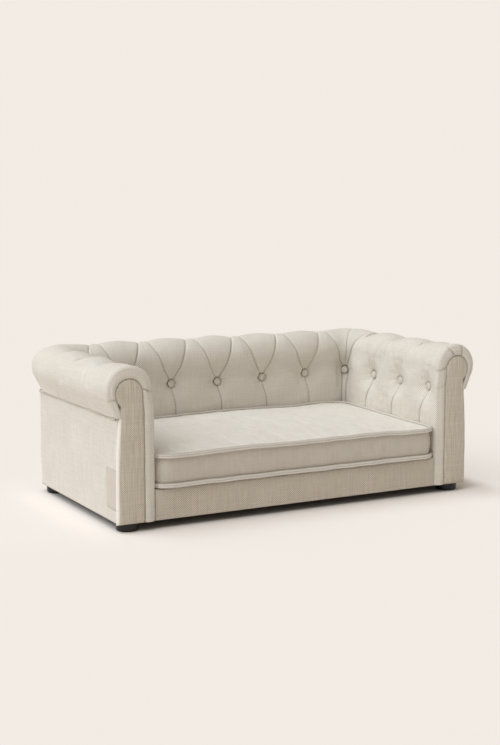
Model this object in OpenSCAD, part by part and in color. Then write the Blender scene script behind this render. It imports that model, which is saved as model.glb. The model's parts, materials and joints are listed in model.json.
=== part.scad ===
// Dog sofa bed with scroll arms, a deep-buttoned back and one loose box cushion.
// Millimetres, +Z up, front towards -Y. The origin is on the floor, under the middle of the whole sofa.

/* [Body] */
// Width over the outer side covers
body_w = 900; // [800:10:1200]
// Depth from the arm fronts to the rear cover
body_d = 480; // [440:10:640]
// Height of the underside above the floor, which is the height of the feet
foot_h = 18; // [12:1:60]
// Height of the outer covers, from the underside to the seam below the rolls
cover_h = 229; // [200:1:300]
// Thickness of the arm walls
arm_t = 85; // [80:1:110]
// Thickness of the back wall
back_t = 70; // [66:1:100]
// Height of the seat deck above the underside
deck_h = 70; // [60:1:90]
// How far the cushion and the scroll facings stand forward of the arms
front_proud = 4; // [2:0.5:8]

/* [Scroll rolls] */
// Radius of the padded roll
roll_r = 53; // [50:1:60]
// How far the roll overhangs the outer cover
roll_over = 26; // [18:1:32]
// Height of the middle of the roll above the seam
roll_rise = 56; // [52:1:66]
// Radius of the scroll head inside the roll
head_r = 33.5; // [30:0.5:36]
// Distance from the outer covers to the turning centre of the rear corners
corner_in = 105; // [95:1:115]
// Squareness of the rolled corner, 2 is round
corner_power = 6; // [2:0.1:7]
// Rounding of the padded edge at the arm fronts
edge_r = 8; // [5:0.5:12]
// How far the lip under the roll stands out from the outer cover
lip_out = 6; // [4:0.5:10]

/* [Tufting] */
// Number of buttons across the back between the corners, an odd number
back_buttons = 5; // [3:2:9]
// Height of the buttons above the underside
button_rise = 229; // [200:1:236]
// Diameter of a covered button
button_d = 19; // [16:1:26]
// Thickness of a covered button
button_t = 9; // [6:0.5:11]
// Depth to which a button pulls the padding in
tuft_depth = 19; // [14:0.5:20]
// Depth of the folds that rise from the buttons
fold_depth = 10; // [4:0.5:12]
// Depth of the pleats that run over the rolls
pleat_depth = 10; // [3:0.5:11]
// Depth of the pleats below the buttons
drop_depth = 7; // [2:0.5:12]
// Distance of the front arm buttons from the arm front
button_back = 56; // [45:1:70]
// Distance between the arm buttons
arm_pitch = 117.5; // [105:0.5:125]

/* [Padding and covers] */
// Thickness of the padding on the inner walls
pad_t = 25; // [22:0.5:30]
// Thickness of a fabric cover
cover_t = 2; // [1:0.5:3]
// Thickness of the scroll facing
facing_t = 14; // [10:1:20]
// Width of the scroll facing at its narrow waist
waist_w = 54; // [50:1:56]
// How far the scroll facing spreads past the outer cover at its foot
facing_flare = 3.7; // [2:0.1:5]
// Thickness of the padded front apron
apron_t = 11; // [8:0.5:16]
// How far the apron lies behind the arm fronts
apron_set = 5; // [3:0.5:8]
// Thickness of the dust cover below
dust_t = 1; // [0.5:0.5:2]

/* [Frame] */
// Thickness of the outer plywood boards
board_t = 5; // [4:0.5:8]
// Thickness of the inner boards behind the padding
inner_t = 4; // [3:0.5:6]
// Thickness of the plywood scroll formers
former_t = 12; // [9:1:18]
// Height of the arm and back rails
rail_h = 22; // [18:1:30]
// Width of the rear posts along the side
post_d = 34; // [30:1:40]
// Thickness of the seat base rails
seat_rail_t = 24; // [18:1:26]
// Thickness of the deck panel
deck_t = 6; // [4:1:9]
// Diameter of the bolts that hold the frames together
bolt_d = 6; // [5:1:8]
// Diameter of the foot screws
screw_d = 4.5; // [4:0.5:6]

/* [Feet and tag] */
// Diameter of a foot
foot_d = 50; // [40:1:60]
// Distance from the outer covers to the middle of a foot
foot_in = 30; // [28:1:40]
// Width of the fabric tag
tag_w = 58; // [20:1:80]
// Height of the fabric tag
tag_h = 84; // [40:1:100]
// Height of the tag above the underside
tag_rise = 32; // [20:1:90]

/* [Cushion] */
// Height of the cushion between its outer seams
cushion_h = 73; // [60:1:90]
// Height of the crown above the upper seam
crown = 9; // [4:0.5:16]
// How far the sides draw in between the corners
draw_in = 4; // [1:0.5:8]
// Corner radius of the cushion
cushion_r = 24; // [16:1:40]
// Diameter of the piping
pipe_d = 7.6; // [5:0.2:10]
// Room between the cushion and the arms
cushion_gap = 2; // [1:0.5:6]
// Room between the cushion and the back, for the zip pull
cushion_back_gap = 6; // [6:0.5:12]
// Length of the zip at the back of the cushion
zip_len = 560; // [400:10:620]
// Height of the zip tape
zip_h = 26; // [20:1:32]

/* [Hidden] */
$fn = 48;

// One overrun for every cut, and the clearance round soft pieces
over = 1;
gap = 0.3;

// Main planes
half_w = body_w / 2;
overall_d = body_d + roll_over + front_proud;
rear_y = overall_d / 2 - roll_over;
front_y = rear_y - body_d;
seam_z = foot_h + cover_h;
roll_z = seam_z + roll_rise;
deck_z = foot_h + deck_h;
frame_z = foot_h + dust_t;
button_z = foot_h + button_rise;
inner_x = half_w - arm_t;
inner_y = rear_y - back_t;

// Layers of the arm and back walls, from the outside in
board_x = half_w - cover_t;
rail_x = board_x - board_t;
lining_x = inner_x + pad_t;
web_x = lining_x + inner_t;
board_y = rear_y - cover_t;
rail_y = board_y - board_t;
lining_y = inner_y + pad_t;
web_y = lining_y + inner_t;
former_y = front_y - front_proud + facing_t;
stile_y = former_y + former_t;
seat_front_y = front_y + apron_set + apron_t;
cover_corner_r = 10;

// Section of the roll, n is the distance outward from the outer cover
roll_n = roll_over - roll_r;
head_set = 1.5;
head_n = roll_n + head_set;
head_z = roll_z - head_set;
roll_turn = 210;
blend_rise = 52;

// The tufts are counted from the middle of the back, the corner buttons are the last of the back
corner_k = (back_buttons + 1) / 2;
corner_share = 0.285;
arm_buttons = round((body_d - corner_in - button_back) / arm_pitch + corner_share);
last_k = corner_k + arm_buttons;
back_pitch = (inner_x + tuft_depth) / corner_k;
centre_x = half_w - corner_in;
centre_y = rear_y - corner_in;
arm_y1 = front_y + button_back + (arm_buttons - 1) * arm_pitch;
back_end_k = centre_x / back_pitch;
arm_start_k = corner_k + corner_share;
button_flat = 12;
button_step = 13;
tuft_reach = 20;
valley_turn = 125;
valley_t = roll_z + arc(roll_r, valley_turn);
seam_gap = 0.5;

// Shares that place the rows of the padding and the columns of a tuft
low_shares = [0, 0.55, 0.8];
column_share_min = 0.13;
column_share_max = 0.37;
end_column_share = 0.75;
front_row_shares = [0.45, 0.12, 0];
corner_shares = [0.35, 0.7];
drop_end_share = 0.4;
fold_power = 2.5;
valley_rows = 6;
over_rows = 4;

// Scroll facing: its outer edge meets the round head at the neck
facing_in = half_w - lining_x;
waist_n = waist_w - facing_in;
neck_turn = -acos((waist_n - head_n) / head_r);
neck_z = head_z + head_r * sin(neck_turn);

// Seat base and cushion
seat_top = deck_z - cover_t - deck_t;
seat_rear_y = lining_y;
cushion_front = front_y - front_proud;
cushion_rear = inner_y - cushion_back_gap;
cushion_x = inner_x - cushion_gap;
cushion_y = (cushion_rear + cushion_front) / 2;
cushion_hd = (cushion_rear - cushion_front) / 2;
pipe_r = pipe_d / 2;
pipe_low = deck_z + gap + pipe_r;
pipe_high = deck_z + gap + cushion_h - pipe_r;
band_in = 3;
edge_in = pipe_d + gap;
core_in = 20;

function clamp(a, lo, hi) = min(max(a, lo), hi);
function smooth(a) = let (b = clamp(a, 0, 1)) b * b * (3 - 2 * b);
function mix(a, b, s) = a + (b - a) * s;
function arc(radius, angle) = radius * angle * PI / 180;

// End of the roll's arc, the lip below it, and the whole length of the section
function roll_end() = [roll_n - roll_r * cos(roll_turn), roll_z + roll_r * sin(roll_turn)];
function lip() = [lip_out, seam_z];
function end_t() = roll_z + arc(roll_r, roll_turn) + norm(lip() - roll_end());

// Wall, roll and lip as [n, z] at the height or arc length t, for a wall of this thickness
function section(t, wall) =
    let (turn = (t - roll_z) / arc(roll_r, 1), left = t - roll_z - arc(roll_r, roll_turn))
    t <= roll_z ? [mix(-wall, roll_n - roll_r, smooth(1 - (roll_z - t) / blend_rise)), t]
    : left <= 0 ? [roll_n - roll_r * cos(turn), roll_z + roll_r * sin(turn)]
    : mix(roll_end(), lip(), min(left / norm(lip() - roll_end()), 1));

// Direction into the padding at t
function inward(t) =
    let (turn = clamp((t - roll_z) / arc(roll_r, 1), 0, roll_turn))
    [cos(turn), -sin(turn)];

// Depth of a fold at the relative distance d from its line
function fold(d, depth) = depth * pow(1 - clamp(d, 0, 1), fold_power);

// Depth of the padding below its full form at tuft k and length t: the buttons, the two folds that
// rise from each button to the valleys halfway between, the pleats over the roll and those below
function tuft(k, t) =
    let (dk = abs(k - round(k)),
        u = clamp((t - button_z) / (valley_t - button_z), 0, 1),
        c = u / 2,
        narrow = column_share_min / 2,
        press = exp(-pow(max(norm([dk * arm_pitch, t - button_z]) - button_flat, 0) / tuft_reach, 2)),
        fade = k > last_k ? clamp((front_k() - k) / (front_k() - last_k), 0, 1) : 1,
        depth = t < button_z ? fold(2 * dk, drop_depth * mix(1, drop_end_share, (button_z - t) / (button_z - deck_z)))
            : t > valley_t ? fold(1 - 2 * dk, pleat_depth * (end_t() - t) / (end_t() - valley_t))
            : fold(dk < c ? (c - dk) / max(c, narrow) : (dk - c) / max(0.5 - c, narrow),
                mix(fold_depth, pleat_depth, u)))
    mix(depth * fade, tuft_depth, press);

// Rounding of the padding at the arm front
function front_round(y) =
    let (d = clamp(front_y + edge_r - y, 0, edge_r))
    edge_r - sqrt(edge_r * edge_r - d * d);

function front_k() = corner_k + 1 + (arm_y1 - front_y - edge_r) / arm_pitch;

// Angle round the rear corner, 90 at the end of the back and 0 at the start of the arm
function corner_angle(k) =
    k < corner_k ? mix(45, 90, (corner_k - k) / (corner_k - back_end_k))
    : mix(0, 45, (arm_start_k - k) / (arm_start_k - corner_k));

// Place along the arm of tuft k: the first tuft fills what the corner leaves, the others keep their pitch
function arm_line(k) =
    k > corner_k + 1 ? arm_y1 - (k - corner_k - 1) * arm_pitch
    : mix(centre_y, arm_y1, (k - arm_start_k) / (1 - corner_share));

// Point in plan at tuft k, for the distance na from the arm's cover and nb from the back's
function plan_point(k, na, nb) =
    k <= back_end_k ? [k * back_pitch, rear_y + nb]
    : k >= arm_start_k ? [half_w + na, arm_line(k)]
    : let (a = corner_angle(k),
        p = mix(2, corner_power, clamp((na + arm_t) / (arm_t + roll_over), 0, 1)),
        m = pow(pow(cos(a), p) + pow(sin(a), p), -1 / p))
    [centre_x + (corner_in + na) * cos(a) * m, centre_y + (corner_in + nb) * sin(a) * m];

// Point of the padding's face at tuft k and length t, sunk by depth
function face_point(k, t, depth) =
    let (side = section(t, arm_t) + inward(t) * depth, back = section(t, back_t) + inward(t) * depth,
        p = plan_point(k, side[0], back[0]))
    [p[0], p[1], side[1]];

// Lengths t of the rows, from the bottom of the padding to the lip under the roll
function row_lengths(bottom) = concat(
    [for (s = low_shares) mix(bottom, button_z - button_step, s)],
    [button_z - button_step, button_z],
    [for (i = [0 : valley_rows]) mix(button_z + button_step, valley_t, i / valley_rows)],
    [for (i = [1 : over_rows]) mix(valley_t, end_t(), i / over_rows)]);

// Inside of the padding as [n, z, t]: up the inner board, round the roll core and down to the lip
head_corner = (head_r + gap) / cos(30);
leg_top = head_z - head_corner / 2;
function inner_line(bottom, wall) =
    let (n = pad_t - wall - gap,
        first = [head_n - head_corner * cos(30), head_z - head_corner / 2],
        last = [head_n + head_corner * cos(30), head_z - head_corner / 2],
        waist = waist_n + gap)
    concat([[n, bottom, 0], [n, min(first[1], first[1] - (n - first[0]) * tan(30)), roll_z - roll_r]],
        [for (a = [-30 : 60 : roll_turn])
            [head_n - head_corner * cos(a), head_z + head_corner * sin(a), roll_z + arc(roll_r, a)]],
        [[waist, last[1] - (last[0] - waist) * tan(30), mix(roll_z + arc(roll_r, roll_turn), end_t(), 0.5)],
        [facing_edge(seam_z) + gap, seam_z, end_t()]]);

// Outer edge of the scroll facing below its head
function facing_edge(z) = mix(facing_flare, waist_n, (z - foot_h) / (neck_z - foot_h));

// Tuft number of column q of half tuft h at length t, drawn to the fold that crosses it
function column_k(h, q, t) =
    let (u = clamp((t - button_z) / (valley_t - button_z), 0, 1),
        c = clamp(u / 2, column_share_min, column_share_max),
        w = h == 2 * last_k ? front_k() - last_k : 0.5,
        cw = min(c, end_column_share * w),
        f = [0, cw / 2, cw, (cw + w) / 2, w])
    h % 2 == 0 ? h / 2 + f[q] : (h + 1) / 2 - f[4 - q];

// One closed ring of the padding along the line k_at(t): the tufted face, then the inside back down
function ring_along(k_at, bottom) =
    let (ts = row_lengths(bottom), inside = [inner_line(bottom, arm_t), inner_line(bottom, back_t)])
    concat([for (t = ts) let (k = k_at(t)) face_point(k, t, tuft(k, t))],
        [for (i = [len(inside[0]) - 1 : -1 : 0])
            let (k = k_at(inside[0][i][2]),
                p = plan_point(k, inside[0][i][0], inside[1][i][0]),
                z = mix(inside[0][i][1], inside[1][i][1], k < corner_k ? 1 : k >= arm_start_k ? 0 : 0.5))
            [p[0], p[1], z]]);

function ring(h, q) = ring_along(function (t) column_k(h, q, t), deck_z + gap);
function upright_ring(k) = ring_along(function (t) k, deck_z + gap);

// A ring of the arm front, at y with the rounded edge
function front_ring(y, bottom) =
    concat([for (t = row_lengths(bottom))
            let (p = section(t, arm_t) + inward(t) * front_round(y)) [half_w + p[0], y, p[1]]],
        [for (i = [len(inner_line(bottom, arm_t)) - 1 : -1 : 0])
            let (p = inner_line(bottom, arm_t)[i]) [half_w + p[0], y, p[1]]]);

function shifted(points, by) = [for (p = points) p + by];
function mirrored(points) = [for (p = points) [-p[0], p[1], p[2]]];

// Number of the inside point that faces each row of the tufted face
function partner(t, bottom) =
    let (inside = inner_line(bottom, arm_t)) len([for (p = inside) if (p[2] <= t + gap) p]) - 1;

// End face of a ring, as triangles between its tufted side and its inside
function end_faces(bottom, start, flip) =
    let (ts = row_lengths(bottom), rows = len(ts), last = rows + len(inner_line(bottom, arm_t)) - 1,
        m = [for (t = ts) partner(t, bottom)],
        tris = concat([for (i = [0 : rows - 2]) [i, i + 1, last - m[i]]],
            [for (i = [0 : rows - 2]) for (j = [m[i] : 1 : m[i + 1] - 1]) [i + 1, last - j - 1, last - j]]))
    [for (f = tris) flip ? [start + f[2], start + f[1], start + f[0]] : [start + f[0], start + f[1], start + f[2]]];

// Faces between rings of size n
function skin_faces(rings, n) = [for (r = [0 : rings - 2]) for (i = [0 : n - 1])
    let (j = (i + 1) % n, a = r * n) each [[a + i, a + j, a + n + j], [a + i, a + n + j, a + n + i]]];

function reversed_faces(faces) = [for (f = faces) [f[2], f[1], f[0]]];
function flat(lists) = [for (part = lists) each part];

// A padded solid through rings, in the order of their tuft numbers
module padded(rings, bottom, last_bottom) {
    n = len(rings[0]);
    polyhedron(points = flat(rings), faces = concat(skin_faces(len(rings), n),
        end_faces(bottom, 0, true), end_faces(last_bottom, (len(rings) - 1) * n, false)), convexity = 6);
}

// Rings of the back from its middle to its end, and of the arm from the corner to its front
function back_half() = concat(
    [for (h = [0 : 2 * corner_k - 2]) for (q = [0 : 3]) ring(h, q)],
    [ring(2 * corner_k - 2, 4), shifted(upright_ring(back_end_k), [-seam_gap / 2, 0, 0])]);
function reversed(list) = [for (i = [len(list) - 1 : -1 : 0]) list[i]];
function back_rings() = let (half = back_half())
    concat([for (r = reversed([for (i = [1 : len(half) - 1]) half[i]])) mirrored(r)], half);
function arm_rings() = concat(
    [shifted(upright_ring(arm_start_k), [0, -seam_gap / 2, 0])],
    [for (h = [2 * corner_k + 1 : 2 * last_k - 1]) for (q = [0 : 3]) ring(h, q)],
    [for (q = [0 : 4]) ring(2 * last_k, q)],
    [front_ring(front_y + edge_r - seam_gap, foot_h)],
    [for (s = front_row_shares) front_ring(front_y + edge_r * s, foot_h)]);

// Half of a corner, from tuft k1 to k2, its ends moved apart by the seams
function corner_rings(k1, move1, k2, move2) = concat(
    [shifted(upright_ring(k1), move1 * seam_gap / 2)],
    [for (s = corner_shares) upright_ring(mix(k1, k2, s))],
    [shifted(upright_ring(k2), move2 * seam_gap / 2)]);

module back_padding() {
    color("#bdb3a0") padded(back_rings(), deck_z + gap, deck_z + gap);
}

// The corner is sewn from two halves that meet in a mitre at the corner button
module corner_padding_right() {
    bottom = deck_z + gap;
    color("#c6bdad") {
        padded(corner_rings(back_end_k, [1, 0, 0], corner_k, [-1, 1, 0]), bottom, bottom);
        padded(corner_rings(corner_k, [1, -1, 0], arm_start_k, [0, 1, 0]), bottom, bottom);
    }
}

module corner_padding_left() {
    mirror([1, 0, 0]) corner_padding_right();
}

module arm_padding_right() {
    color("#c6bdad") padded(arm_rings(), deck_z + gap, foot_h);
}

module arm_padding_left() {
    mirror([1, 0, 0]) arm_padding_right();
}

// Outline of the body in plan, drawn in by inset, with rounded rear corners
module plan_outline(inset) {
    x = half_w - cover_corner_r;
    y = front_y + apron_set;
    translate([inset - half_w, y]) square([body_w - 2 * inset, rear_y - cover_corner_r - y]);
    translate([-x, y]) square([2 * x, rear_y - inset - y]);
    for (side = [-1, 1]) translate([side * x, rear_y - cover_corner_r]) circle(cover_corner_r - inset);
}

// The outer covers are one thin wall, cut into sides and rear
module cover_wall() {
    translate([0, 0, foot_h]) linear_extrude(cover_h) difference() {
        plan_outline(0);
        plan_outline(cover_t);
        translate([cover_t - half_w, front_y]) square([body_w - 2 * cover_t, 2 * apron_set]);
    }
}

module side_cover_right() {
    color("#e0dacd") intersection() {
        cover_wall();
        translate([half_w - cover_corner_r, former_y, 0]) cube([body_w, body_d * 2, roll_z]);
    }
}

module side_cover_left() {
    mirror([1, 0, 0]) side_cover_right();
}

module rear_cover() {
    color("#c6bdad") translate([cover_corner_r - half_w, board_y, foot_h])
        cube([body_w - 2 * cover_corner_r, cover_t, cover_h]);
}

// Flat outline of a scroll: the round head on a leg, in x outward and z up
module scroll_outline(r, leg_in, foot_out, waist_out, low) {
    translate([head_n, head_z]) circle(r);
    polygon([[leg_in, low], [foot_out, low], [waist_out, neck_z], [head_n, head_z], [leg_in, leg_top - 2 * gap]]);
}

// Stands a flat outline upright across the arm, with n = 0 on the outer cover
module upright(y, depth) {
    translate([half_w, y + depth, 0]) rotate([90, 0, 0]) linear_extrude(depth) children();
}

module scroll_former_right() {
    color("#d8b47e") upright(former_y, former_t)
        scroll_outline(head_r - gap, -facing_in, -cover_t, waist_n, frame_z);
}

module scroll_former_left() {
    mirror([1, 0, 0]) scroll_former_right();
}

// Scroll facing: a padded panel with a rounded edge, its width read from both edges at each height
facing_round = 6;
facing_rows = 12;
facing_head_rows = 16;
facing_shares = [0, 0.03, 0.1, 0.3, 0.5, 0.7, 0.9, 0.97, 1];
head_top = head_z + head_r;
function facing_z(i) =
    i <= facing_rows ? mix(foot_h, neck_z, i / facing_rows)
    : head_z + head_r * sin(mix(neck_turn, 90, (i - facing_rows) / facing_head_rows));
function head_reach(z) = sqrt(max(head_r * head_r - (z - head_z) * (z - head_z), 0));
function facing_left_edge(z) =
    z > head_z ? head_n - head_reach(z)
    : mix(-facing_in, head_n - head_r, smooth((z - leg_top) / facing_round + 2));
function facing_right_edge(z) = z < neck_z ? facing_edge(z) : head_n + head_reach(z);
function facing_sink(n, z) =
    let (left = facing_left_edge(z), right = facing_right_edge(z),
        d = min(n - left, right - n, head_r - (z > head_z ? norm([n - head_n, z - head_z]) : 0), z - foot_h),
        e = clamp(facing_round - d, 0, facing_round))
    facing_round - sqrt(facing_round * facing_round - e * e);

module facing_right() {
    last = facing_rows + facing_head_rows - 1;
    cols = len(facing_shares);
    front = [for (i = [0 : last]) let (z = facing_z(i)) for (s = facing_shares)
        let (n = mix(facing_left_edge(z), facing_right_edge(z), s))
        [half_w + n, front_y - front_proud + facing_sink(n, z), z]];
    back = [for (i = [0 : last]) let (z = facing_z(i)) for (n = [facing_left_edge(z), facing_right_edge(z)])
        [half_w + n, former_y, z]];
    f = len(front);
    top = f + len(back);
    tip = [[half_w + head_n, front_y - front_proud + facing_round, head_top], [half_w + head_n, former_y, head_top]];
    color("#c9bfae") polyhedron(points = concat(front, back, tip), faces = concat(
        [for (i = [0 : last - 1]) for (j = [0 : cols - 2]) let (a = i * cols + j)
            each [[a, a + cols, a + cols + 1], [a, a + cols + 1, a + 1]]],
        [for (i = [0 : last - 1]) let (b = f + 2 * i) each [[b, b + 1, b + 3], [b, b + 3, b + 2]]],
        [for (i = [0 : last - 1]) let (a = i * cols, b = f + 2 * i)
            each [[a, b, b + 2], [a, b + 2, a + cols],
                [a + cols - 1, b + 3, b + 1], [a + cols - 1, a + 2 * cols - 1, b + 3]]],
        [for (j = [0 : cols - 2]) [last * cols + j, top, last * cols + j + 1]],
        [[last * cols, f + 2 * last, top + 1], [last * cols, top + 1, top],
            [last * cols + cols - 1, top, top + 1], [last * cols + cols - 1, top + 1, f + 2 * last + 1],
            [f + 2 * last, f + 2 * last + 1, top + 1]],
        [for (j = [0 : cols - 2]) [j, j + 1, f]],
        [[cols - 1, f + 1, f]]), convexity = 4);
}

module facing_left() {
    mirror([1, 0, 0]) facing_right();
}

// Padded front apron with a rounded top edge
module apron() {
    r = apron_t / 2;
    height = seat_top + deck_t - frame_z;
    color("#b9af9e") translate([gap - inner_x, front_y + apron_set, frame_z])
        rotate([90, 0, 90]) linear_extrude(2 * (inner_x - gap)) {
            square([apron_t, height - r]);
            translate([r, 0]) square([apron_t - r, height]);
            translate([r, height - r]) circle(r);
        }
}

module dust_cover() {
    color("#26241f") translate([0, 0, foot_h]) difference() {
        linear_extrude(dust_t) intersection() {
            plan_outline(cover_t);
            translate([-half_w, former_y]) square([body_w, body_d]);
        }
        foot_places() translate([0, 0, -over]) cylinder(d = screw_d + gap, h = dust_t + 2 * over);
    }
}

module foot_places() {
    for (side = [-1, 1]) for (y = [front_y + foot_in, rear_y - foot_in])
        translate([side * (half_w - foot_in), y, 0]) children();
}

// A foot turned from an outline, with a rounded lower edge and a sunk screw hole
foot_round = 5;
screw_head_d = 9;
screw_head_h = 3;
screw_sink = 3;
module foot() {
    r = foot_d / 2;
    color("#171514") difference() {
        rotate_extrude() {
            square([r - foot_round, foot_h]);
            translate([0, foot_round]) square([r, foot_h - foot_round]);
            translate([r - foot_round, foot_round]) circle(foot_round);
        }
        translate([0, 0, -over]) cylinder(d = screw_d + gap, h = foot_h + 2 * over);
        translate([0, 0, -over]) cylinder(d = screw_head_d + 2 * gap, h = over + screw_sink + screw_head_h);
    }
}

module foot_front_left() { translate([foot_in - half_w, front_y + foot_in, 0]) foot(); }
module foot_front_right() { translate([half_w - foot_in, front_y + foot_in, 0]) foot(); }
module foot_rear_left() { translate([foot_in - half_w, rear_y - foot_in, 0]) foot(); }
module foot_rear_right() { translate([half_w - foot_in, rear_y - foot_in, 0]) foot(); }

screw_len = 32;
module foot_screws() {
    color("#9a9a98") foot_places() translate([0, 0, screw_sink]) {
        difference() {
            cylinder(d = screw_head_d, h = screw_head_h);
            translate([0, 0, -over]) cylinder(d = screw_d, h = over + screw_head_h / 2, $fn = 6);
        }
        cylinder(d = screw_d, h = screw_len);
    }
}

module screw_holes() {
    foot_places() translate([0, 0, foot_h]) cylinder(d = screw_d + gap, h = screw_len + over);
}

// Bolts between the seat base and the frames of the arms and the back
bolt_z = frame_z + rail_h / 2;
bolt_front = 130;
bolt_rear = 170;
bolt_side_y = [front_y + bolt_front, rear_y - bolt_rear];
bolt_back_x = 180;
bolt_head_h = 4;
bolt_len = 54;
bolt_hole_len = 62;
module bolt_places() {
    for (side = [-1, 1]) {
        for (y = bolt_side_y)
            translate([side * (lining_x - seat_rail_t), y, bolt_z]) rotate([0, side * 90, 0]) children();
        translate([side * bolt_back_x, seat_rear_y - seat_rail_t, bolt_z]) rotate([-90, 0, 0]) children();
    }
}

module frame_bolts() {
    color("#9a9a98") bolt_places() {
        translate([0, 0, -bolt_head_h]) cylinder(d = 2 * bolt_d, h = bolt_head_h, $fn = 6);
        cylinder(d = bolt_d, h = bolt_len);
    }
}

module bolt_holes() {
    bolt_places() translate([0, 0, -over]) cylinder(d = bolt_d + gap, h = bolt_hole_len);
}

module side_bottom_rail_right() {
    color("#d9bb8b") difference() {
        translate([web_x, stile_y, frame_z]) cube([rail_x - web_x, rail_y - post_d - stile_y, rail_h]);
        screw_holes();
        bolt_holes();
    }
}

module side_bottom_rail_left() { mirror([1, 0, 0]) side_bottom_rail_right(); }

module side_top_rail_right() {
    color("#d9bb8b") translate([web_x, stile_y, seam_z - rail_h])
        cube([rail_x - web_x, rail_y - post_d - stile_y, rail_h]);
}

module side_top_rail_left() { mirror([1, 0, 0]) side_top_rail_right(); }

module rear_post_right() {
    color("#d9bb8b") difference() {
        translate([web_x, rail_y - post_d, frame_z]) cube([rail_x - web_x, post_d, seam_z - frame_z]);
        screw_holes();
    }
}

module rear_post_left() { mirror([1, 0, 0]) rear_post_right(); }

module side_board_right() {
    color("#d8b47e") translate([rail_x, stile_y, frame_z])
        cube([board_t, rear_y - cover_corner_r - stile_y, seam_z - frame_z]);
}

module side_board_left() { mirror([1, 0, 0]) side_board_right(); }

module side_inner_board_right() {
    color("#c8a878") difference() {
        translate([lining_x, stile_y, frame_z]) cube([inner_t, web_y - stile_y, seam_z - frame_z]);
        bolt_holes();
    }
}

module side_inner_board_left() { mirror([1, 0, 0]) side_inner_board_right(); }

module back_bottom_rail() {
    color("#d9bb8b") difference() {
        translate([-web_x, web_y, frame_z]) cube([2 * web_x, rail_y - web_y, rail_h]);
        bolt_holes();
    }
}

module back_top_rail() {
    color("#d9bb8b") translate([-web_x, web_y, seam_z - rail_h]) cube([2 * web_x, rail_y - web_y, rail_h]);
}

module back_board() {
    color("#d8b47e") translate([cover_corner_r - half_w, rail_y, frame_z])
        cube([body_w - 2 * cover_corner_r, board_t, seam_z - frame_z]);
}

module back_inner_board() {
    color("#c8a878") difference() {
        translate([-lining_x, lining_y, frame_z]) cube([2 * lining_x, inner_t, seam_z - frame_z]);
        bolt_holes();
    }
}

// Foam cores of the rolls: the scroll above the seam, straight in the walls and turned at the corners
module core_outline(r, leg_in) {
    intersection() {
        scroll_outline(r, leg_in, waist_n, waist_n, seam_z);
        translate([-half_w, seam_z]) square([body_w, roll_z]);
    }
}

module roll_core_right() {
    color("#d8cfa0") upright(stile_y, centre_y - stile_y) core_outline(head_r - gap, -facing_in);
}

module roll_core_left() { mirror([1, 0, 0]) roll_core_right(); }

corner_slack = 8;
module roll_core_back() {
    color("#d8cfa0") {
        translate([-centre_x, rear_y, 0]) rotate([90, 0, 90]) linear_extrude(2 * centre_x)
            core_outline(head_r - gap, pad_t - back_t);
        for (side = [0, 1]) mirror([side, 0, 0]) translate([centre_x, centre_y, 0])
            rotate_extrude(angle = 90) translate([corner_in, 0])
                core_outline(head_r - corner_slack, pad_t - back_t + corner_slack);
    }
}

module seat_front_rail() {
    color("#d9bb8b") translate([-lining_x, seat_front_y, frame_z])
        cube([2 * lining_x, seat_rail_t, seat_top - frame_z]);
}

module seat_rear_rail() {
    color("#d9bb8b") difference() {
        translate([-lining_x, seat_rear_y - seat_rail_t, frame_z])
            cube([2 * lining_x, seat_rail_t, seat_top - frame_z]);
        bolt_holes();
    }
}

module seat_side_rails() {
    y = seat_front_y + seat_rail_t;
    color("#d9bb8b") difference() {
        for (x = [-lining_x, lining_x - seat_rail_t]) translate([x, y, frame_z])
            cube([seat_rail_t, seat_rear_y - seat_rail_t - y, seat_top - frame_z]);
        bolt_holes();
    }
}

brace_w = 40;
module seat_brace() {
    y = seat_front_y + seat_rail_t;
    color("#d9bb8b") translate([-brace_w / 2, y, seat_top - rail_h])
        cube([brace_w, seat_rear_y - seat_rail_t - y, rail_h]);
}

block_leg = 42;
module corner_blocks() {
    x = lining_x - seat_rail_t;
    color("#c8a878") for (side = [0, 1]) mirror([side, 0, 0]) {
        translate([x, seat_front_y + seat_rail_t, frame_z]) linear_extrude(seat_top - frame_z)
            polygon([[0, 0], [0, block_leg], [-block_leg, 0]]);
        translate([x, seat_rear_y - seat_rail_t, frame_z]) linear_extrude(seat_top - frame_z)
            polygon([[0, 0], [-block_leg, 0], [0, -block_leg]]);
    }
}

module deck_panel() {
    color("#d8b47e") translate([-lining_x, seat_front_y, seat_top])
        cube([2 * lining_x, seat_rear_y - seat_front_y, deck_t]);
}

module deck_cloth() {
    color("#cfc6b5") translate([0, 0, deck_z - cover_t]) {
        translate([-lining_x, seat_front_y, 0]) cube([2 * lining_x, seat_rear_y - seat_front_y, cover_t]);
        translate([gap - inner_x, seat_front_y - apron_t / 2, 0]) cube([2 * (inner_x - gap), apron_t / 2, cover_t]);
    }
}

// A covered button turned from an arc, standing on the floor of its tuft
module covered_button() {
    r = button_d / 2;
    rim = button_t / 3;
    dome = button_t - rim;
    ball = (r * r + dome * dome) / (2 * dome);
    rotate_extrude() {
        polygon([[0, 0], [r / 2, 0], [r, rim], [0, rim]]);
        translate([0, rim]) intersection() {
            translate([0, dome - ball]) circle(ball);
            square([r, dome]);
        }
    }
}

button_lift = 0.6;
corner_lift = 2;
module button_at(k) {
    p = face_point(k, button_z, tuft_depth - (k == corner_k ? corner_lift : button_lift));
    turn = k <= back_end_k ? 0 : k >= arm_start_k ? -90 : corner_angle(k) - 90;
    translate(p) rotate([0, 0, turn]) rotate([90, 0, 0]) covered_button();
}

module buttons_back() {
    color("#c9bfae") {
        button_at(0);
        for (side = [0, 1]) mirror([side, 0, 0]) for (k = [1 : corner_k]) button_at(k);
    }
}

module buttons_right() {
    color("#d3cabd") for (k = [corner_k + 1 : last_k]) button_at(k);
}

module buttons_left() { mirror([1, 0, 0]) buttons_right(); }

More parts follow.
